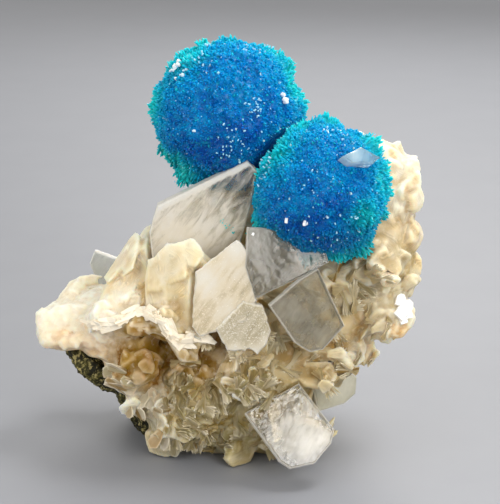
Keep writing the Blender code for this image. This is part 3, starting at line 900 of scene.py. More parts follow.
# The lumps that the zeolite is made of: where, and how far each reaches along the three axes
LUMPS = [
    ((2.4, 0.8, 9.6), (6.8, 5.8, 7.0)),
    ((1.2, -3.0, 6.0), (5.4, 3.1, 4.6)),
    ((-0.4, 0.6, 3.1), (5.5, 5.0, 4.3)),
    ((2.8, -0.6, 2.3), (3.2, 3.6, 2.9)),
    ((-4.3, -0.9, 4.2), (2.6, 3.0, 3.6)),
    ((4.8, 1.4, 6.4), (3.5, 4.0, 3.4)),
    ((7.6, 1.2, 10.6), (3.5, 4.0, 3.0)),
    ((10.4, 0.9, 13.1), (2.4, 3.0, 2.4)),
    ((11.3, 1.2, 16.2), (2.5, 3.2, 3.0)),
    ((11.0, 1.7, 19.2), (2.4, 3.0, 2.6)),
    ((10.5, 2.4, 21.3), (2.3, 2.6, 2.2)),
    ((-2.2, 1.8, 13.9), (4.2, 4.2, 4.2)),
    ((1.4, 4.2, 16.4), (4.6, 3.2, 4.2)),
    ((-3.1, -2.8, 12.4), (3.0, 2.0, 4.0)),
    ((-5.4, 0.4, 9.6), (3.8, 4.0, 3.8)),
    ((-7.4, -0.4, 6.8), (2.4, 2.8, 2.4)),
    ((-9.2, 1.2, 9.2), (3.4, 3.6, 2.4)),
    ((-12.2, 1.4, 9.0), (2.4, 2.8, 1.7)),
]


def nearest_lump(points):
    """The way out of the lump of zeolite that each point is on."""
    best = np.full(len(points), np.inf)
    outward = np.zeros_like(points)
    for centre, radii in LUMPS:
        scaled = (points - np.array(centre)) / np.array(radii)
        distance = np.linalg.norm(scaled, axis=1)
        nearer = distance < best
        best = np.where(nearer, distance, best)
        outward[nearer] = (scaled / np.array(radii))[nearer]
    return unit(outward)


def surface_samples(mesh, draw, count=SURFACE_SAMPLES):
    """Random points on a mesh and the normals there, in millimetres."""
    mesh.calc_loop_triangles()
    corners = read_rows(mesh.vertices, "co", 3) / MM
    index = read_rows(mesh.loop_triangles, "vertices", 3, np.int32)
    a, b, c = corners[index].transpose(1, 0, 2)
    cross = np.cross(b - a, c - a)
    area = np.linalg.norm(cross, axis=1)
    pick = draw.choice(len(area), size=count, p=area / area.sum())
    u = draw.random((count, 1))
    v = draw.random((count, 1))
    over = u + v > 1.0
    u = np.where(over, 1.0 - u, u)
    v = np.where(over, 1.0 - v, v)
    points = a[pick] + u * (b - a)[pick] + v * (c - a)[pick]
    return points, unit(cross[pick])


def open_spots(points, clear=BALL_CLEAR):
    """Which points are clear of the balls, the big blades and the floor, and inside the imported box."""
    keep = (points[:, 2] > FLOOR_GAP) & np.all(points > BOX_LOW, axis=1) & np.all(points < BOX_HIGH, axis=1)
    keep &= np.linalg.norm(points - np.array(UPPER_CENTRE), axis=1) > UPPER_RADIUS + clear
    keep &= np.linalg.norm(points - np.array(LOWER_CENTRE), axis=1) > LOWER_RADIUS + clear
    for plate in PLATES:
        keep &= ~near_plate(points, plate, BLADE_CLEAR)
    return keep


def habit_spots(mesh, habit, count, seed):
    """Spots of the zeolite's mesh where a habit grows, away from the basalt, with the way out there."""
    draw = np.random.default_rng(seed)
    spots, normals = surface_samples(mesh, draw)
    basalt = tree_of(surface_samples(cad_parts["basalt_rind"].data, draw, BASALT_SAMPLES)[0])
    habits = np.array(REGION_HABITS)[nearest_in(REGION_TREE, spots)[0]]
    keep = open_spots(spots) & (habits == habit) & (spots[:, 2] > LOWEST_SPOT)
    keep &= nearest_in(basalt, spots)[1] > BASALT_REACH
    spots, normals = spots[keep][:count], normals[keep][:count]
    return spots, unit(nearest_lump(spots) + 0.5 * normals), draw


@dataclass
class Growth:
    """Crystals that grow on the zeolite, with a row for each in every array."""

    starts: np.ndarray
    frames: np.ndarray
    tints: np.ndarray
    roots: np.ndarray
    rims: np.ndarray
    milks: np.ndarray
    strands: np.ndarray
    shapes: np.ndarray


TABLET_OUTLINE = [(-0.5, 0.0), (0.5, 0.0), (0.5, 0.74), (0.17, 1.0), (-0.22, 0.98), (-0.5, 0.7)]


def tablet_template():
    """A small tabular crystal with a bevelled rim, one unit long, wide and thick."""
    count = len(TABLET_OUTLINE)
    inset = [(x * 0.86, 0.06 + z * 0.88) for x, z in TABLET_OUTLINE]
    points = [(x, -0.5, z) for x, z in inset]
    points += [(x, 0.0, z) for x, z in TABLET_OUTLINE]
    points += [(x, 0.5, z) for x, z in inset]
    faces = [tuple(range(count)), tuple(range(3 * count - 1, 2 * count - 1, -1))]
    for ring in (0, count):
        for i in range(count):
            j = (i + 1) % count
            faces.append((ring + j, ring + i, ring + count + i, ring + count + j))
    return np.array(points), faces


PETAL_ROWS = (0.0, 0.5, 0.93, 1.0)
PETAL_ACROSS = (-0.5, -0.44, 0.0, 0.44, 0.5)
PETAL_COLUMNS = len(PETAL_ACROSS)


def petal_template(jag, seed):
    """A thin crystal, narrow at its root and ragged at its rounded end, one unit long, wide and thick.

    Gives its points, its faces and how near each point is to the rim.
    """
    draw = np.random.default_rng(seed)
    ragged = 1.0 + jag * draw.uniform(-1.0, 0.6, size=PETAL_COLUMNS)
    ridge = draw.uniform(-0.2, 0.2, size=PETAL_COLUMNS)
    bow = draw.uniform(-1.4, 1.4)
    skew = draw.uniform(-0.25, 0.25)
    points = []
    rim = []
    for side in (-0.5, 0.5):
        for row in PETAL_ROWS:
            for column, across in enumerate(PETAL_ACROSS):
                at_edge = row == 1.0 or column in (0, PETAL_COLUMNS - 1)
                breadth = 0.62 + 0.38 * math.sin(math.pi * 0.6 * row)
                height = row * (1.0 - (0.8 + skew * across * 6.0) * across**2) * ragged[column]
                depth = side * (0.35 if at_edge else 1.0) + ridge[column] * row + bow * height**2
                points.append((across * breadth + skew * 0.4 * row, depth, height))
                rim.append(float(at_edge) * min(1.0, row * 2.0))
    return np.array(points), petal_faces(), np.array(rim)


def petal_faces():
    """The faces of the template: both sides of it, and the border between them."""
    faces = []
    layer = len(PETAL_ROWS) * PETAL_COLUMNS
    for i in range(len(PETAL_ROWS) - 1):
        for j in range(PETAL_COLUMNS - 1):
            corner = i * PETAL_COLUMNS + j
            quad = (corner, corner + 1, corner + 1 + PETAL_COLUMNS, corner + PETAL_COLUMNS)
            faces.append(quad)
            faces.append(tuple(layer + k for k in reversed(quad)))
    top = layer - PETAL_COLUMNS
    border = list(range(PETAL_COLUMNS))
    border += [PETAL_COLUMNS * (i + 1) + PETAL_COLUMNS - 1 for i in range(len(PETAL_ROWS) - 1)]
    border += [top + j for j in range(PETAL_COLUMNS - 2, -1, -1)]
    border += [PETAL_COLUMNS * i for i in range(len(PETAL_ROWS) - 2, 0, -1)]
    for here, following in zip(border, border[1:] + border[:1]):
        faces.append((following, here, layer + here, layer + following))
    return faces


def petal_frames(spots, outward, habit, draw):
    """Where each crystal of a habit starts and its three scaled axes. A bunch of crystals shares its root."""
    count = len(spots)
    aside = draw.normal(size=(count, 3)) + habit.upward * np.array((0.0, 0.0, 1.0))
    aside += habit.away * 1.4 * unit(spots - HEART)
    aside = unit(aside - outward * np.sum(aside * outward, axis=1, keepdims=True))
    lean = np.radians(draw.uniform(*habit.lean, size=count))[:, None]
    first = np.arange(count) // habit.bunch * habit.bunch
    spots, outward, aside, lean = spots[first], outward[first], aside[first], lean[first]
    middle = np.cos(lean) * outward + np.sin(lean) * aside
    through = np.cos(lean) * aside - np.sin(lean) * outward
    fan = (np.arange(count) - first + 0.5) / habit.bunch - 0.5
    swing = habit.spread * fan + draw.normal(scale=TURN_SCATTER, size=count)
    along = turned(middle, through, np.radians(swing))
    through = turned(through, along, np.radians(draw.normal(scale=TWIST_SCATTER, size=count)))
    across = np.cross(through, along)
    length = draw.uniform(*habit.length, size=count)[first] * draw.uniform(0.85, 1.0, size=count)
    width = draw.uniform(*habit.width, size=count)[:, None]
    thickness = draw.uniform(*habit.thickness, size=count)[:, None]
    length = length[:, None]
    starts = spots - along * length * (1.0 - habit.proud)
    return starts, np.stack([across * width, through * thickness, along * length], axis=1)


# The white wavy edge over the brown hollow: its path on the zeolite
CREST = [
    (-10.1, -3.9, 11.3),
    (-9.2, -4.6, 11.5),
    (-7.9, -4.9, 11.8),
    (-6.9, -4.6, 12.3),
    (-5.8, -5.2, 12.5),
    (-5.0, -6.3, 12.6),
    (-4.5, -6.3, 11.8),
    (-4.0, -6.4, 10.8),
    (-3.4, -6.2, 10.4),
    (-2.8, -6.3, 11.0),
    (-1.8, -6.2, 10.8),
]
CREST_CRYSTALS = 130
CREST_LENGTH = (1.0, 2.2)
CREST_WIDTH = (0.2, 0.5)
CREST_THICKNESS = 0.08


def crest(mesh, colours):
    """A row of thin white crystals whose tips make a wavy edge."""
    draw = np.random.default_rng(83)
    count = CREST_CRYSTALS
    step = np.linspace(0.0, len(CREST) - 1.001, count)
    start = step.astype(int)
    path = np.array(CREST)
    side = unit(path[start + 1] - path[start])
    planned = path[start] + (path[start + 1] - path[start]) * (step - start)[:, None]
    spots, normals = surface_samples(mesh, draw)
    front = normals @ np.array((0.0, -0.8, 0.6)) > 0.2
    spots, normals = spots[front], normals[front]
    found, _ = nearest_in(tree_of(spots), planned)
    middles = spots[found] + normals[found] * 0.1 + draw.normal(scale=0.12, size=(count, 3))
    along = unit(side + draw.normal(scale=0.22, size=(count, 3)))
    facing = normals[found] + np.array((-0.1, -1.0, 0.4)) + draw.normal(scale=0.25, size=(count, 3))
    through = unit(facing - along * np.sum(facing * along, axis=1, keepdims=True))
    length = draw.uniform(*CREST_LENGTH, size=count)[:, None]
    width = draw.uniform(*CREST_WIDTH, size=count)[:, None]
    frames = np.stack([np.cross(through, along) * width, through * CREST_THICKNESS, along * length], axis=1)
    return Growth(
        middles - along * length * 0.5,
        frames,
        same_for_all(count, colours.white) * 1.03,
        same_for_all(count, (0.98, 0.94, 0.88)),
        np.full(count, 0.8),
        np.full(count, 1.4),
        draw.uniform(0.0, 50.0, size=count),
        draw.integers(0, SHAPES, size=count),
    )


def together(growths):
    """Several growths as one."""
    names = [field.name for field in fields(Growth)]
    return Growth(*(np.concatenate([getattr(growth, name) for growth in growths]) for name in names))


def grow(mesh, habits, seed, colours):
    """The crystals of the habits: where they stand, how they are turned and their colours."""
    growths = []
    for number, (kind, habit) in enumerate(habits.items()):
        spots, outward, draw = habit_spots(mesh, kind, habit.count, seed + number)
        count = len(spots)
        growths.append(
            Growth(
                *petal_frames(spots, outward, habit, draw),
                zeolite_tints(spots, colours) * draw.uniform(0.92, 1.06, size=(count, 1)),
                same_for_all(count, habit.root),
                np.full(count, habit.rim),
                habit.milk + draw.uniform(-0.1, 0.1, size=count),
                draw.uniform(0.0, 50.0, size=count),
                draw.integers(0, SHAPES, size=count),
            )
        )
    return together(growths)


def grown_points(growth, seed):
    """For each shape: which crystals stand clear, their corners, faces and rims, and the template."""
    for shape in range(SHAPES):
        template, faces, rim = petal_template(RAGGED, seed + shape)
        chosen = np.flatnonzero(growth.shapes == shape)
        points = np.einsum("vk,nkj->nvj", template, growth.frames[chosen]) + growth.starts[chosen][:, None, :]
        inside = [bool(np.all(open_spots(item, 0.1))) for item in points]
        yield chosen[inside], points[inside], faces, rim, template


def petal_piece(name, growth, seed, colours, material):
    """Crystals as a mesh of their own, which carries their colours and their striations."""
    every_face = []
    rows = []
    total = 0
    for chosen, points, faces, rim, template in grown_points(growth, seed):
        up = np.clip(template[:, 2], 0.0, 1.0)[None, :, None] ** 0.8
        tip = growth.tints[chosen][:, None, :]
        # Each crystal darker towards its root: partly its own tone and partly painted shade
        tint = blended(tip * growth.roots[chosen][:, None, :], tip, up)
        # White rims: partly milky edges and partly painted light
        white = growth.rims[chosen][:, None, None] * rim[None, :, None]
        tint = blended(tint, np.array(colours.white), white)
        width = np.linalg.norm(growth.frames[chosen][:, 0], axis=1)[:, None]
        strand = template[None, :, 0] * width + growth.strands[chosen][:, None]
        rims = np.tile(rim, len(chosen))
        milks = np.repeat(growth.milks[chosen], len(template)) - 0.1
        rows.append((points.reshape(-1, 3), tint.reshape(-1, 3), strand.ravel(), rims, milks))
        every_face += repeated_faces(faces, total, len(chosen), len(template))
        total += len(rims)
    points, tints, strands, rims, milks = (np.concatenate(column) for column in zip(*rows))
    piece = mesh_piece(name, points, every_face, tints, "stilbite_matrix", material)
    put_numbers(piece.data, "strand", strands)
    put_numbers(piece.data, "rim", rims)
    put_numbers(piece.data, "milk", milks)
    return piece


def turned(vectors, axes, angles):
    """Vectors turned about unit axes."""
    cos = np.cos(angles)[:, None]
    sin = np.sin(angles)[:, None]
    along = np.sum(axes * vectors, axis=1, keepdims=True)
    return vectors * cos + np.cross(axes, vectors) * sin + axes * along * (1.0 - cos)


def solid_mesh(node):
    """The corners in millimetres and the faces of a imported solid."""
    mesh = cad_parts[node].data
    return read_rows(mesh.vertices, "co", 3) / MM, [tuple(face.vertices) for face in mesh.polygons]


def remeshed(points, faces, voxel):
    """An even fine mesh over closed shapes that run into one another, its vertices and its normals."""
    start = bpy.data.meshes.new("source")
    start.from_pydata(points * MM, [], faces)
    source = bpy.data.objects.new("source", start)
    bpy.context.scene.collection.objects.link(source)
    modifier = source.modifiers.new("even mesh", "REMESH")
    modifier.mode = "VOXEL"
    modifier.voxel_size = voxel * MM
    modifier.use_smooth_shade = True
    mesh = evaluated_mesh(source)
    triangles = 2 * len(mesh.polygons)
    if triangles > MOST_TRIANGLES:
        source.modifiers.new("fewer", "DECIMATE").ratio = MOST_TRIANGLES / triangles
        mesh = evaluated_mesh(source)
    bpy.data.objects.remove(source)
    return mesh, read_rows(mesh.vertices, "co", 3) / MM, read_rows(mesh.vertex_normals, "vector", 3)


def evaluated_mesh(source):
    bpy.context.view_layer.update()
    graph = bpy.context.evaluated_depsgraph_get()
    return bpy.data.meshes.new_from_object(source.evaluated_get(graph))


def rough_piece(name, mesh, points, tints, node, material):
    """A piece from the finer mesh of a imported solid. Its vertices go to points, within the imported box."""
    points = np.clip(points, BOX_LOW, BOX_HIGH)
    points[:, 2] = np.maximum(points[:, 2], 0.0)
    mesh.vertices.foreach_set("co", (points * MM).ravel())
    mesh.update()
    mesh.name = name
    return place_mesh(name, mesh, tints, node, material)


def place_on_crystals(points, growth, seed):
    """For each point: the crystal it is on, or -1, how far up it is, how near the rim and where across."""
    samples = []
    owners = []
    for chosen, corners, _, _, template in grown_points(growth, seed):
        half = corners[:, : len(template) // 2]
        other = corners[:, len(template) // 2 :]
        samples.append(((half + other) / 2.0).reshape(-1, 3))
        owners.append(np.repeat(chosen, len(template) // 2))
    found, distance = nearest_in(tree_of(np.concatenate(samples)), points)
    owner = np.concatenate(owners)[found]
    frame_of = growth.frames[owner]
    size = np.linalg.norm(frame_of, axis=2)
    local = np.einsum("nkj,nj->nk", frame_of / size[:, :, None], points - growth.starts[owner])
    up = np.clip(local[:, 2] / size[:, 2], 0.0, 1.0)
    edge = np.maximum(np.abs(local[:, 0] / size[:, 0]) * 2.0, up)
    on = np.clip(1.6 - distance / 0.5, 0.0, 1.0)
    return owner, up, edge, local[:, 0] + growth.strands[owner], on


def smoothed(mesh, points, rounds):
    """The points after each has moved to the middle of its neighbours, several times over."""
    ends = read_rows(mesh.edges, "vertices", 2, np.int32)
    count = len(points)
    neighbours = np.bincount(ends.ravel(), minlength=count) + 1.0
    smooth = points.copy()
    for _ in range(rounds):
        total = smooth.copy()
        for axis in range(3):
            total[:, axis] += np.bincount(ends[:, 0], smooth[ends[:, 1], axis], count)
            total[:, axis] += np.bincount(ends[:, 1], smooth[ends[:, 0], axis], count)
        smooth = total / neighbours[:, None]
    return smooth


def softened(points, near, far, broad):
    """The points with edges rounded a little and hollows partly filled, but not into the balls and blades."""
    fill = np.clip(broad / 0.12, 0.0, 1.0) * 0.95
    moved = points + (near - points) * 0.7
    moved += (far - points) * fill[:, None]
    blocked = np.linalg.norm(moved - np.array(UPPER_CENTRE), axis=1) < UPPER_RADIUS + 0.15
    blocked |= np.linalg.norm(moved - np.array(LOWER_CENTRE), axis=1) < LOWER_RADIUS + 0.15
    for plate in PLATES:
        blocked |= near_plate(moved, plate, 0.05)
    return np.where(blocked[:, None], points, moved)


def mass_mesh(growth):
    """An even mesh over the zeolite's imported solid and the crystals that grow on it."""
    corners, faces = solid_mesh("stilbite_matrix")
    every_point = [corners]
    total = len(corners)
    for chosen, points, own_faces, _, template in grown_points(growth, MASS_SEED):
        faces += repeated_faces(own_faces, total, len(chosen), len(template))
        every_point.append(points.reshape(-1, 3))
        total += len(every_point[-1])
    voxel = bpy.context.scene.cavansite_sizes.voxel / MM
    return remeshed(np.concatenate(every_point), faces, voxel)


def crystal_tints(points, growth, base, colours):
    """The colours that the mass takes from its crystals, and where across its crystal each point is."""
    owner, up, edge, strand, on = place_on_crystals(points, growth, MASS_SEED)
    tip = base * 0.3 + growth.tints[owner] * 0.7
    # Darker towards each crystal's root, partly its own tone and partly painted shade
    tints = blended(tip * growth.roots[owner], tip, (up**0.7)[:, None])
    # White near the rims, partly milky edges and partly painted light
    white = growth.rims[owner] * np.clip((edge - 0.75) / 0.25, 0.0, 1.0)
    tints = blended(tints, np.array(colours.white), white[:, None])
    # Off the crystals the mass is darker, as painted shade between them
    return blended(base * np.array(PAINTED_SHADE_BETWEEN_CRYSTALS), tints, on[:, None]), strand


def painted_shading(tints, base, small, broad):
    """The colours, darker and warmer in the hollows as painted shade and paler along the edges as painted
    light.
    """
    deep = np.clip(small / 0.06, 0.0, 1.0) * 0.25 + np.clip(broad / 0.6, 0.0, 1.0) * 0.6
    deep = (deep * np.clip((0.8 - base[:, 2]) / 0.3, 0.15, 1.0))[:, None]
    tints = tints * (1.0 - np.clip(deep, 0.0, 1.0) * (1.0 - np.array(PAINTED_HOLLOW_SHADE)))
    # Painted light: paler on the sharp edges
    edges = (np.clip(-small / 0.08, 0.0, 1.0) * 0.5)[:, None]
    return blended(tints, tints * 1.2 + 0.06, edges)


def zeolite_mass(colours, material):
    """The zeolite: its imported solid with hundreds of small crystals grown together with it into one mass."""
    growth = grow(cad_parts["stilbite_matrix"].data, HABITS, 31, colours)
    mesh, points, normals = mass_mesh(growth)
    near = smoothed(mesh, points, SMALL_ROUNDS)
    far = smoothed(mesh, points, BROAD_ROUNDS)
    small = np.sum((near - points) * normals, axis=1)
    broad = np.sum((far - points) * normals, axis=1)
    base = zeolite_tints(points, colours)
    tints, strand = crystal_tints(points, growth, base, colours)
    tints = painted_shading(tints, base, small, broad)
    fine = 0.025 * cell_relief(points, 3.1, 2) + 0.02 * cell_relief(points, 7.0, 3)
    moved = softened(points, near, far, broad) + normals * fine[:, None]
    piece = rough_piece("zeolite_mass", mesh, moved, tints, "stilbite_matrix", material)
    put_numbers(piece.data, "strand", strand)
    # The sharp edges, which the material makes milkier and a little paler, partly as painted light
    put_numbers(piece.data, "rim", np.clip(-small / 0.09, 0.0, 1.0))
    put_numbers(piece.data, "milk", milk_at(points))
    return piece


def milk_at(points):
    """How milky the zeolite is at each point, blended between the nearest regions."""
    milks = np.array([HABITS[habit].milk for habit in REGION_HABITS])
    near = [REGION_TREE.find_n(Vector(point), 3) for point in points]
    index = np.array([[item[1] for item in row] for row in near])
    weight = 1.0 / (0.3 + np.array([[item[2] for item in row] for row in near])) ** 2
    return np.sum(milks[index] * weight, axis=1) / np.sum(weight, axis=1)


def zeolite_core(colours, material):
    """The honey-coloured heart of the zeolite, which shows through the clearer crystals."""
    mesh, points, normals = remeshed(*solid_mesh("stilbite_matrix"), CORE_VOXEL)
    depth = 0.45 - 0.35 * cell_relief(points, 1.1, 9)
    inside = points - normals * depth[:, None]
    tints = zeolite_tints(points, colours) * np.array(CORE_TINT)
    return rough_piece("zeolite_core", mesh, inside, tints, "stilbite_matrix", material)


def basalt_rock(colours, material):
    """The dark rock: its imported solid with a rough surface, paler where it stands out."""
    mesh, points, normals = remeshed(*solid_mesh("basalt_rind"), ROCK_VOXEL)
    relief = 0.35 * cell_relief(points, 0.8, 5) + 0.25 * cell_relief(points, 2.0, 6) - 0.12
    relief += 0.16 * cell_relief(points, 4.5, 7)
    rough = points + normals * relief[:, None]
    tints = same_for_all(len(points), colours.basalt)
    tints = tints * (0.5 + np.clip((relief + 0.1) / 0.3, 0.0, 1.2))[:, None]
    return rough_piece("basalt_rock", mesh, rough, tints, "basalt_rind", material)


def cell_relief(points, scale, seed):
    """Rounded bumps with creases between them."""
    shift = Vector((seed * 1.3, seed * 2.1, seed * 0.7))
    return np.array([0.5 - noise.voronoi(Vector(point) * scale + shift)[0][0] for point in points])


# Small bright crystals that catch the light: where, which way they face and how long they are
GLINTS = [
    ((12.9, -1.9, 12.3), (0.19, -0.90, 0.38), 1.0),
    ((13.1, -1.9, 11.8), (0.24, -0.88, 0.40), 1.3),
    ((12.8, -1.9, 11.4), (0.14, -0.90, 0.42), 1.2),
    ((13.2, -1.8, 11.1), (0.20, -0.91, 0.34), 0.9),
    ((12.9, -1.9, 10.7), (0.22, -0.88, 0.42), 0.8),
    ((-5.0, -4.2, 1.4), (0.23, -0.89, 0.40), 0.6),
    ((1.7, -5.5, 18.6), (0.18, -0.90, 0.40), 0.24),
]


def glints(mesh, material):
    """The small bright crystals, each turned to a light and set on the zeolite where that is near."""
    draw = np.random.default_rng(7)
    origins = np.array([place for place, _, _ in GLINTS])
    through = unit(np.array([facing for _, facing, _ in GLINTS]))
    spots = surface_samples(mesh, draw)[0]
    found, distance = nearest_in(tree_of(spots), origins)
    near = distance < 1.0
    origins[near] = spots[found[near]] + through[near] * 0.15
    size = np.array([length for _, _, length in GLINTS])[:, None]
    along = unit(np.cross(through, np.cross(np.array((0.2, 0.0, 1.0)), through)))
    along = turned(along, through, draw.uniform(-0.6, 0.6, size=len(GLINTS)))
    frames = np.stack([np.cross(through, along) * size * 0.8, through * 0.3, along * size], axis=1)
    template, faces = tablet_template()
    points, every_face = crystals(template, faces, origins - along * size * 0.5, frames)
    tints = same_for_all(len(points), (0.95, 0.93, 0.88))
    return mesh_piece("zeolite_glints", points, every_face, tints, "stilbite_matrix", material)


# Big blades


@dataclass
class Cloud:
    """A milky or, where strength is below 0, a clear place in a blade, about (right, up) of its centre."""

    right: float
    up: float
    radius: float
    strength: float


@dataclass
class Veil:
    """How milky a blade is all over, the colour of the milk, and its clouds.

    streaks and sparkle are how strong its streaks and its bright specks are, the specks being painted glints.
    ridge is the side of its outline that has a broad white edge, a painted highlight along the top edge, or -1
    for none, and rim is how white the thin edge is all round.
    """

    milk: float
    colour: tuple
    clouds: list
    streaks: float = 0.2
    sparkle: float = 0.0
    ridge: int = -1
    rim: float = 1.0


SMOKY = (0.175, 0.16, 0.115)
MILK = (0.86, 0.83, 0.77)
VEILS = {
    "tall_blade": Veil(
        0.68,
        (0.83, 0.77, 0.65),
        [
            Cloud(2.8, 4.6, 1.5, -0.45),
            Cloud(0.8, 4.0, 1.0, -0.25),
            Cloud(3.4, 3.0, 1.2, -0.15),
            Cloud(-2.2, 0.8, 1.6, 0.3),
            Cloud(-0.6, -0.8, 2.0, 0.3),
            Cloud(0.5, -3.4, 2.2, 0.4),
        ],
        1.5,
        0.1,
        0,
    ),
    "cream_blade": Veil(
        0.75,
        (0.84, 0.73, 0.52),
        [Cloud(-1.6, 1.4, 1.0, 0.7), Cloud(0.6, 3.6, 1.0, 0.8), Cloud(0.8, -1.0, 1.4, 0.2)],
        1.0,
        0.3,
    ),
    "scalloped_blade": Veil(
        0.6,
        (0.80, 0.71, 0.50),
        [Cloud(-0.6, -1.4, 0.6, 0.8), Cloud(0.8, -1.6, 0.6, 0.8), Cloud(1.8, -0.6, 0.5, 0.6)],
        0.5,
        0.7,
    ),
    "clear_blade_upper": Veil(0.52, SMOKY, [Cloud(-1.4, 2.0, 1.5, 0.2), Cloud(2.4, 0.6, 1.2, -0.2)], 0.3),
    "clear_blade_lower": Veil(
        0.4, (0.28, 0.25, 0.17), [Cloud(-1.2, -0.2, 1.4, 0.15), Cloud(0.8, -1.6, 1.2, 0.1)], 0.3
    ),
    "foot_blade": Veil(
        0.12, (0.78, 0.75, 0.68), [Cloud(1.4, -0.3, 1.9, 0.5), Cloud(0.0, 1.4, 1.0, 0.2)], 0.4
    ),
    "back_left_blade": Veil(0.6, (0.74, 0.77, 0.74), [Cloud(0.0, 0.2, 1.4, -0.15)]),
    "rear_blade": Veil(0.5, MILK, [Cloud(0.0, -1.0, 2.0, 0.3)]),
    "rear_low_blade": Veil(0.5, MILK, [Cloud(0.0, -1.0, 2.0, 0.3)]),
    "right_low_blade": Veil(0.6, (0.72, 0.70, 0.55), [Cloud(0.4, 0.6, 1.4, 0.2)]),
    "ball_chip": Veil(0.4, (0.35, 0.66, 0.85), [Cloud(-0.6, 0.2, 0.8, 0.3)], rim=0.3),
}
BLADE_WHITE = (0.97, 0.95, 0.90)
# How worn the outlines of the cream and the clear blades are
CREAM_WEAR = 0.09
CLEAR_WEAR = 0.025
BEVEL = 0.13
OUTLINE_STEP = 0.25
CUT_STEP = 0.2
CUT_REACH = 36
THIN_EDGE = 0.14
BROAD_EDGE = 0.45


def fine_outline(plate, jag, draw):
    """The plate's outline with a point every quarter millimetre, worn a little in and out."""
    points = []
    count = len(plate.outline)
    for i in range(count):
        start = Vector(plate.outline[i])
        end = Vector(plate.outline[(i + 1) % count])
        steps = max(2, round((end - start).length / OUTLINE_STEP))
        side = Vector(((end - start).y, -(end - start).x)).normalized()
        for j in range(steps):
            point = start.lerp(end, j / steps)
            wave = noise.noise(Vector((*point, 0.0)) * 2.6 + Vector((i, 0.0, 5.0)))
            wave += 0.4 * draw.uniform(-1.0, 1.0)
            points.append(point + side * wave * jag if j else point)
    return points


def blade_mesh(plate, jag):
    """The blade's mesh in millimetres, with a narrow bevel, a worn rim and faces cut up finely."""
    draw = random.Random(len(plate.outline) + int(plate.centre[0] * 10.0))
    centre, right, up, facing = plate_axes(plate)
    outline = fine_outline(plate, jag, draw)
    middle = sum(outline, Vector((0.0, 0.0))) / len(outline)
    half = plate.thickness / 2.0
    bm = bmesh.new()
    rings = []
    for inset, depth in ((BEVEL, half), (0.0, half - BEVEL), (0.0, BEVEL - half), (BEVEL, -half)):
        ring = []
        for point in outline:
            x, z = point + (middle - point).normalized() * inset
            ring.append(bm.verts.new(centre + right * x + up * z + facing * depth))
        rings.append(ring)
    bm.faces.new(rings[0])
    bm.faces.new(list(reversed(rings[3])))
    count = len(outline)
    for upper, lower in zip(rings, rings[1:]):
        for i in range(count):
            j = (i + 1) % count
            bm.faces.new((upper[i], lower[i], lower[j], upper[j]))
    for axis in (right, up):
        for i in range(-CUT_REACH, CUT_REACH + 1):
            cut = centre + axis * (i * CUT_STEP + 0.01)
            whole = bm.verts[:] + bm.edges[:] + bm.faces[:]
            bmesh.ops.bisect_plane(bm, geom=whole, plane_co=cut, plane_no=axis)
    bmesh.ops.triangulate(bm, faces=[face for face in bm.faces if len(face.verts) > 4])
    bmesh.ops.recalc_face_normals(bm, faces=bm.faces)
    return bm


def rim_nearness(points, plate, sides, width):
    """1 on the named sides of the blade's outline, falling to 0 at a distance."""
    nearest = np.full(len(points), np.inf)
    count = len(plate.outline)
    for i in sides:
        start = np.array(plate.outline[i])
        side = np.array(plate.outline[(i + 1) % count]) - start
        step = np.clip((points - start) @ side / (side @ side), 0.0, 1.0)[:, None]
        nearest = np.minimum(nearest, np.linalg.norm(points - start - step * side, axis=1))
    return np.clip(1.0 - nearest / width, 0.0, 1.0)


def paint_blade(mesh, flat, plate):
    """Puts on a blade's mesh how milky it is and where each point is on its face, and gives its colours."""
    painted = VEILS[plate.name]
    veil = np.full(len(flat), painted.milk)
    for cloud in painted.clouds:
        distance = np.hypot(flat[:, 0] - cloud.right, flat[:, 1] - cloud.up) / cloud.radius
        veil += cloud.strength * np.exp(-(distance**2))
    rim = painted.rim * rim_nearness(flat, plate, range(len(plate.outline)), THIN_EDGE) ** 2
    # The ridge is a broad white band, a painted highlight along the top edge
    if painted.ridge >= 0:
        ridge = rim_nearness(flat, plate, [painted.ridge], BROAD_EDGE)
        rim = np.maximum(rim, np.clip(ridge * 3.0, 0.0, 1.0))
    put_numbers(mesh, "veil", veil)
    put_numbers(mesh, "streaks", np.full(len(flat), painted.streaks))
    put_numbers(mesh, "sparkle", np.full(len(flat), painted.sparkle))
    put_numbers(mesh, "rim", rim)
    place = np.zeros((len(flat), 3), dtype=np.float32)
    place[:, :2] = flat
    place[:, 2] = sum(plate.centre)
    mesh.attributes.new("face_place", "FLOAT_VECTOR", "POINT").data.foreach_set("vector", place.ravel())
    white = np.clip(veil - painted.milk, 0.0, 0.8)[:, None]
    return blended(np.array(painted.colour), np.array(BLADE_WHITE), white)


def blade_piece(plate, jag, material):
    """A big tabular crystal with slightly wavy faces."""
    centre, right, up, facing = plate_axes(plate)
    bm = blade_mesh(plate, jag)
    wander = Vector(plate.centre)
    flat = np.array([((vert.co - centre).dot(right), (vert.co - centre).dot(up)) for vert in bm.verts])
    for vert in bm.verts:
        low = noise.noise(vert.co * 0.5 + wander)
        vert.co += facing * (0.05 * low + 0.012 * noise.noise(vert.co * 3.0))
    bmesh.ops.transform(bm, matrix=Matrix.Scale(MM, 4), verts=bm.verts)
    mesh = bpy.data.meshes.new(plate.name + "_crystal")
    bm.to_mesh(mesh)
    bm.free()
    tints = paint_blade(mesh, flat, plate)
    return place_mesh(mesh.name, mesh, tints, plate.name, material)


# Materials

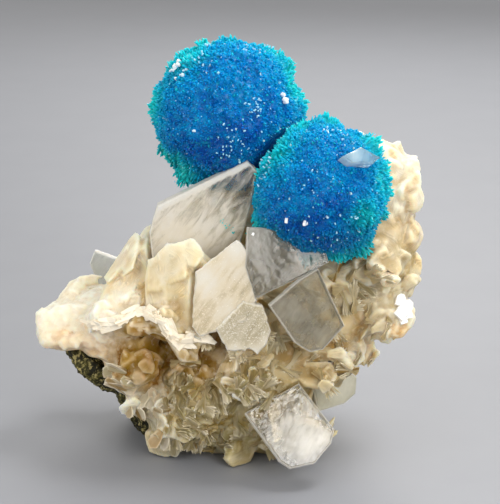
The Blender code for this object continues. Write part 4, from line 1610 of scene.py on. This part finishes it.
WARM_WHITE = (0.96, 0.92, 0.80)
COOL_WHITE = (0.98, 0.97, 0.95)
RIM_WHITE = (0.96, 0.94, 0.89)
HONEY_WHITE = (0.9, 0.82, 0.62)
THIN_TINT = (1.0, 0.96, 0.85)
OCHRE = (0.17, 0.155, 0.035)
SAND = (0.52, 0.44, 0.19)
FLOOR_DARK = (0.29, 0.305, 0.345)
FLOOR_PALE = (0.31, 0.325, 0.365)


def cavansite_material():
    """Glassy blue that light soaks into, with a fine broken sheen."""
    shader = Shader("cavansite crystal")
    grain = shader.noise(2600.0, 2.0)
    return shader.done(
        shader.principled(
            {
                "Base Color": shader.attribute("tint"),
                "Roughness": grain.steps(0.2, 0.8) * 0.25 + 0.15,
                "IOR": 1.45,
                "Specular IOR Level": 0.18,
                "Subsurface Weight": 0.6,
                "Subsurface Radius": (0.1, 0.6, 0.9),
                "Subsurface Scale": 0.0005,
            }
        )
    )


def glowing_grain_material():
    """White glittering grains with a faint painted glow."""
    shader = Shader("white grains")
    sparkle = shader.noise(3000.0, 1.0)
    return shader.done(
        shader.principled(
            {
                "Base Color": shader.attribute("tint"),
                "Roughness": sparkle * 0.2 + 0.05,
                "IOR": 1.5,
                # A faint painted glow in the grains' own colour
                "Emission Color": shader.attribute("tint"),
                "Emission Strength": 0.05,
            }
        )
    )


def zeolite_core_material():
    """Honey-coloured zeolite that light soaks into."""
    shader = Shader("zeolite core")
    tint = shader.attribute("tint")
    cloud = shader.noise(700.0, 4.0, 0.6)
    return shader.done(
        shader.principled(
            {
                "Base Color": shader.mix(cloud.steps(0.4, 0.65) * 0.5, tint, HONEY_WHITE),
                "Roughness": 0.4,
                "IOR": 1.5,
                "Subsurface Weight": 0.6,
                "Subsurface Radius": (1.0, 0.8, 0.55),
                "Subsurface Scale": 0.0006,
            }
        )
    )


def zeolite_material(name, soak, frost, edge):
    """Pearly zeolite, striated along each crystal: partly clear, with milky rims that are also painted a
    little paler as painted light.

    soak is how deep light soaks in, frost is how rough its clear part is and edge is how milky its rims are.
    """
    shader = Shader(name)
    tint = shader.attribute("tint")
    strand = shader.number("strand")
    rim = shader.number("rim")
    milk = shader.number("milk")
    stria = shader.node(
        "ShaderNodeTexNoise",
        {"noise_dimensions": "1D"},
        {"W": strand, "Scale": 5.0, "Detail": 4.0, "Roughness": 0.7},
    )
    cloud = shader.noise(500.0, 4.0, 0.6)
    grain = shader.noise(2400.0, 3.0, 0.6)
    pale = shader.scaled(tint, 1.2)
    colour = shader.mix(stria.steps(0.45, 0.75) * 0.6, tint, pale)
    # Whiter on the rims, partly as painted light, and in fine grains of its own
    colour = shader.mix((rim * 0.15 + grain.steps(0.54, 0.7) * 0.2).clamped(), colour, WARM_WHITE)
    milky_here = ((cloud - 0.5) * 0.5 + (stria - 0.5) * 0.6 + rim * edge + milk).clamped()
    normal = shader.bump(grain * 0.3 + stria + cloud * 0.5, 0.3, 0.00006)
    clear = thin_crystal(shader, shader.mix(0.45, pale, THIN_TINT), frost, normal)
    milky = pearly_crystal(shader, colour, grain * 0.3 + 0.2, soak, normal)
    return shader.done(shader.blend(milky_here, clear, milky))


def thin_crystal(shader, colour, frost, normal):
    """The clear part of the small crystals, which bends light less than a thick one."""
    return shader.principled(
        {
            "Base Color": colour,
            "Roughness": frost,
            "IOR": 1.2,
            "Transmission Weight": 1.0,
            "Normal": normal,
        }
    )


def pearly_crystal(shader, colour, roughness, soak, normal):
    """The milky part of the small crystals."""
    return shader.principled(
        {
            "Base Color": colour,
            "Roughness": roughness,
            "IOR": 1.4,
            "Specular IOR Level": 0.15,
            "Subsurface Weight": 1.0 if soak else 0.0,
            "Subsurface Radius": (1.0, 0.85, 0.6),
            "Subsurface Scale": soak,
            "Normal": normal,
        }
    )


def clear_material():
    """Clear zeolite with painted clouds, soft streaks along each blade, thin bright rims and bright specks
    that are painted glints.
    """
    shader = Shader("clear zeolite")
    tint = shader.attribute("tint")
    veil = shader.number("veil")
    rim = shader.number("rim")
    place = shader.attribute("face_place", 1)
    along = shader.node(
        "ShaderNodeMapping",
        {"vector_type": "TEXTURE"},
        {"Vector": place, "Scale": (4.0, 1.0, 1.0), "Rotation": (0.0, 0.0, 0.95)},
    )
    streak = shader.noise(2.0, 4.0, 0.6, 0.6, along)
    cloud = shader.noise(0.6, 2.0, 0.5, 0.3, place)
    dust = shader.noise(11.0, 2.0, 0.5, 0.0, place)
    streaks = shader.number("streaks")
    sparkle = shader.number("sparkle")
    # Painted glints: bright white specks, as many as the blade's sparkle gives
    painted_glint_flecks = dust.steps(0.56, 0.66) * sparkle
    milky_here = (veil + (streak - 0.5) * streaks + (cloud - 0.5) * 0.4 + painted_glint_flecks * 0.5).steps(0.05, 0.95)
    milky_here = (milky_here + rim).clamped()
    normal = shader.bump(streak + painted_glint_flecks, 0.1, 0.00004)
    pale = shader.mix(0.35, tint, COOL_WHITE)
    white = shader.mix((streak * 0.6 + cloud * 0.4).steps(0.4, 0.65) * streaks, tint, pale)
    colour = shader.mix((rim * 0.8 + painted_glint_flecks).clamped(), white, RIM_WHITE)
    milky = milky_blade(shader, colour, dust * 0.1 + 0.2, normal)
    absorption = {"Color": (0.90, 0.88, 0.80, 1.0), "Density": 200.0}
    depth = shader.node("ShaderNodeVolumeAbsorption", {}, absorption)
    return shader.done(shader.blend(milky_here, clear_blade(shader, normal), milky), depth)


def clear_blade(shader, normal):
    """The clear part of the big blades."""
    return shader.principled(
        {
            "Base Color": (0.97, 0.98, 0.99, 1.0),
            "Roughness": 0.05,
            "IOR": 1.45,
            "Transmission Weight": 1.0,
            "Normal": normal,
        }
    )


def milky_blade(shader, colour, roughness, normal):
    """The milky part of the big blades."""
    return shader.principled(
        {
            "Base Color": colour,
            "Roughness": roughness,
            "IOR": 1.45,
            "Transmission Weight": 0.25,
            "Subsurface Weight": 0.5,
            "Subsurface Radius": (1.0, 0.95, 0.85),
            "Subsurface Scale": 0.0005,
            "Normal": normal,
        }
    )


def basalt_material():
    """Dark olive rock with ochre and pale specks."""
    shader = Shader("basalt")
    tint = shader.attribute("tint")
    speck = shader.noise(1300.0, 6.0, 0.7)
    spot = shader.noise(2600.0, 4.0, 0.7)
    colour = shader.mix(speck.steps(0.42, 0.68) * 0.8, tint, OCHRE)
    colour = shader.mix(spot.steps(0.52, 0.64) * 0.8, colour, SAND)
    return shader.done(
        shader.principled(
            {
                "Base Color": colour,
                "Roughness": speck * 0.3 + 0.5,
                "Specular IOR Level": 0.25,
                "Normal": shader.bump(speck + spot, 0.7, 0.0002),
            }
        )
    )


# Add-on


def count_of(name, description, default, least):
    """A property that holds a count."""
    return IntProperty(name=name, description=description, default=default, min=least)


def colour_for(name, description, default):
    """A property that holds a colour."""
    return FloatVectorProperty(name=name, description=description, default=default, subtype="COLOR")


class CavansiteSizes(PropertyGroup):
    """Sizes and counts of the specimen's small crystals."""

    rosettes: count_of("Rosettes", "Bunches of needles on each ball", 420, 20)
    needles_upper: count_of("Upper needles", "Needles on the upper ball", 13600, 100)
    needles_lower: count_of("Lower needles", "Needles on the lower ball", 11600, 100)
    grains: count_of("White grains", "Grains scattered over each ball", 150, 0)
    voxel: FloatProperty(
        name="Voxel", description="Fineness of the zeolite's surface", default=0.15 * MM, unit="LENGTH"
    )


class CavansiteColours(PropertyGroup):
    """Colours of the specimen."""

    deep: colour_for("Deep blue", "Most of each ball", (0.0, 0.085, 0.46))
    blue: colour_for("Blue", "Lighter patches", (0.0, 0.28, 0.70))
    teal: colour_for("Teal", "Tufts and tips", (0.01, 0.64, 0.68))
    pale: colour_for("Pale", "Scattered light crystals", (0.45, 0.78, 0.92))
    cream: colour_for("Cream", "Most of the zeolite", (0.85, 0.77, 0.58))
    white: colour_for("White", "Wing and rims", (0.93, 0.87, 0.74))
    orange: colour_for("Orange", "Under the wing", (0.70, 0.42, 0.14))
    honey: colour_for("Honey", "Hollows", (0.36, 0.21, 0.02))
    olive: colour_for("Olive", "Low fans", (0.40, 0.33, 0.12))
    basalt: colour_for("Basalt", "Rock rind", (0.030, 0.028, 0.012))


def both_balls(sizes):
    """The two balls, which stop at the plane where they meet."""
    axis = LOWER_CENTRE - UPPER_CENTRE
    span = axis.length
    axis.normalize()
    crossing = (span**2 + UPPER_RADIUS**2 - LOWER_RADIUS**2) / (2.0 * span)
    upper = Ball(
        name="upper",
        node="cavansite_ball_upper",
        centre=UPPER_CENTRE,
        radius=UPPER_RADIUS,
        tufts=UPPER_TUFTS,
        other=axis,
        plane_at=crossing - BALL_GAP,
        needles=sizes.needles_upper,
        grains=UPPER_GRAINS,
        seed=11,
    )
    lower = Ball(
        name="lower",
        node="cavansite_ball_lower",
        centre=LOWER_CENTRE,
        radius=LOWER_RADIUS,
        tufts=LOWER_TUFTS,
        other=-axis,
        plane_at=span - crossing - BALL_GAP,
        needles=sizes.needles_lower,
        grains=LOWER_GRAINS,
        seed=12,
    )
    return upper, lower


class OBJECT_OT_cavansite_balls(Operator):
    """Covers both balls with needles"""

    bl_idname = "object.cavansite_balls"
    bl_label = "Cavansite Balls"

    def execute(self, context):
        colours = context.scene.cavansite_colours
        blue = cavansite_material()
        white = glowing_grain_material()
        for ball in both_balls(context.scene.cavansite_sizes):
            needle_ball(ball, colours, blue)
            ball_core(ball, colours, blue)
            ball_grains(ball, white)
        teal_sprinkle(colours, blue)
        return {"FINISHED"}


class OBJECT_OT_cavansite_zeolite(Operator):
    """Builds the zeolite: its mass, its core, leaves, fans, fibres and a few bright crystals"""

    bl_idname = "object.cavansite_zeolite"
    bl_label = "Zeolite"

    def execute(self, context):
        colours = context.scene.cavansite_colours
        mass = zeolite_mass(colours, zeolite_material("zeolite mass", 0.0007, 0.15, 0.3)).data
        zeolite_core(colours, zeolite_core_material())
        veil = zeolite_material("zeolite veil", 0.0, 0.3, 0.8)
        plates = together([grow(mass, LOOSE_HABITS, 61, colours), crest(mass, colours)])
        fibres = grow(mass, FIBROUS_HABITS, 71, colours)
        petal_piece("zeolite_plates", plates, 610, colours, veil)
        petal_piece("zeolite_fibres", fibres, 710, colours, veil)
        # The bright crystals take the grains' material, with its faint painted glow
        glints(mass, glowing_grain_material())
        return {"FINISHED"}


class OBJECT_OT_cavansite_basalt(Operator):
    """Breaks up the surface of the basalt"""

    bl_idname = "object.cavansite_basalt"
    bl_label = "Basalt"

    def execute(self, context):
        basalt_rock(context.scene.cavansite_colours, basalt_material())
        return {"FINISHED"}


class OBJECT_OT_cavansite_big_blades(Operator):
    """Makes the big clear and cream blades"""

    bl_idname = "object.cavansite_big_blades"
    bl_label = "Big Blades"

    def execute(self, context):
        clear = clear_material()
        for plate in PLATES:
            if plate.kind == "cream":
                blade_piece(plate, CREAM_WEAR, clear)
            else:
                blade_piece(plate, CLEAR_WEAR, clear)
        return {"FINISHED"}


class SCENE_OT_cavansite_stage(Operator):
    """Adds the floor, the lights and the photograph's camera"""

    bl_idname = "scene.cavansite_stage"
    bl_label = "Cavansite Stage"

    def execute(self, context):
        add_floor()
        for light in LIGHTS:
            add_light(*light)
        add_world()
        add_camera()
        context.scene.view_settings.view_transform = "Standard"
        return {"FINISHED"}


def add_world():
    """A warm grey surround."""
    world = bpy.data.worlds.new("studio")
    world.use_nodes = True
    background = world.node_tree.nodes["Background"]
    background.inputs["Color"].default_value = (0.84, 0.81, 0.76, 1.0)
    background.inputs["Strength"].default_value = 0.75
    bpy.context.scene.world = world


def add_camera():
    """The photograph's camera: level from side to side, looking down at the specimen."""
    down = math.radians(CAMERA_DOWN_DEG)
    looking = Vector((0.0, math.cos(down), -math.sin(down)))
    camera = bpy.data.cameras.new("photograph")
    camera.sensor_fit = "VERTICAL"
    camera.sensor_height = CAMERA_SENSOR
    camera.lens = CAMERA_LENS
    camera.clip_start = 0.001
    camera.clip_end = 10.0
    holder = bpy.data.objects.new("photograph", camera)
    holder.location = (CAMERA_AIM - looking * CAMERA_DISTANCE) * MM
    holder.rotation_euler = (math.pi / 2.0 - down, 0.0, 0.0)
    bpy.context.scene.collection.objects.link(holder)
    bpy.context.scene.camera = holder


def add_floor():
    """A plain dark floor, wide enough to fill the view."""
    floor = bpy.data.meshes.new("floor")
    size = FLOOR_SIZE
    corners = [(-size, -size, 0.0), (size, -size, 0.0), (size, size, 0.0), (-size, size, 0.0)]
    floor.from_pydata([Vector(corner) * MM for corner in corners], [], [(0, 1, 2, 3)])
    piece = bpy.data.objects.new("floor", floor)
    bpy.context.scene.collection.objects.link(piece)
    shader = Shader("floor")
    speck = shader.noise(180.0, 3.0)
    colour = shader.mix(speck, FLOOR_DARK, FLOOR_PALE)
    floor.materials.append(shader.done(shader.principled({"Base Color": colour, "Roughness": 0.55})))


def add_light(name, place, size, watts, colour):
    """A soft square light, aimed at the middle of the specimen."""
    light = bpy.data.lights.new(name, "AREA")
    light.size = size * MM
    light.energy = watts
    light.color = colour
    holder = bpy.data.objects.new(name, light)
    holder.location = Vector(place) * MM
    aim = CAMERA_AIM * MM - holder.location
    holder.rotation_euler = aim.to_track_quat("-Z", "Y").to_euler()
    bpy.context.scene.collection.objects.link(holder)


class VIEW3D_PT_cavansite(Panel):
    """Lists the sizes, the colours and the operators in the sidebar"""

    bl_label = "Cavansite"
    bl_space_type = "VIEW_3D"
    bl_region_type = "UI"
    bl_category = "Cavansite"

    def draw(self, context):
        for group in (context.scene.cavansite_sizes, context.scene.cavansite_colours):
            for name in group.__annotations__:
                self.layout.prop(group, name)
        for operator in OPERATORS:
            self.layout.operator(operator.bl_idname)


OPERATORS = (
    OBJECT_OT_cavansite_balls,
    OBJECT_OT_cavansite_zeolite,
    OBJECT_OT_cavansite_basalt,
    OBJECT_OT_cavansite_big_blades,
    SCENE_OT_cavansite_stage,
)
GROUPS = (CavansiteSizes, CavansiteColours)


def register():
    for item in (*GROUPS, *OPERATORS, VIEW3D_PT_cavansite):
        bpy.utils.register_class(item)
    bpy.types.Scene.cavansite_sizes = PointerProperty(type=CavansiteSizes)
    bpy.types.Scene.cavansite_colours = PointerProperty(type=CavansiteColours)


def unregister():
    del bpy.types.Scene.cavansite_colours
    del bpy.types.Scene.cavansite_sizes
    for item in reversed((*GROUPS, *OPERATORS, VIEW3D_PT_cavansite)):
        bpy.utils.unregister_class(item)


def main():
    register()
    bpy.ops.object.cavansite_balls()
    bpy.ops.object.cavansite_zeolite()
    bpy.ops.object.cavansite_basalt()
    bpy.ops.object.cavansite_big_blades()
    bpy.ops.scene.cavansite_stage()


if __name__ == "__main__":
    main()
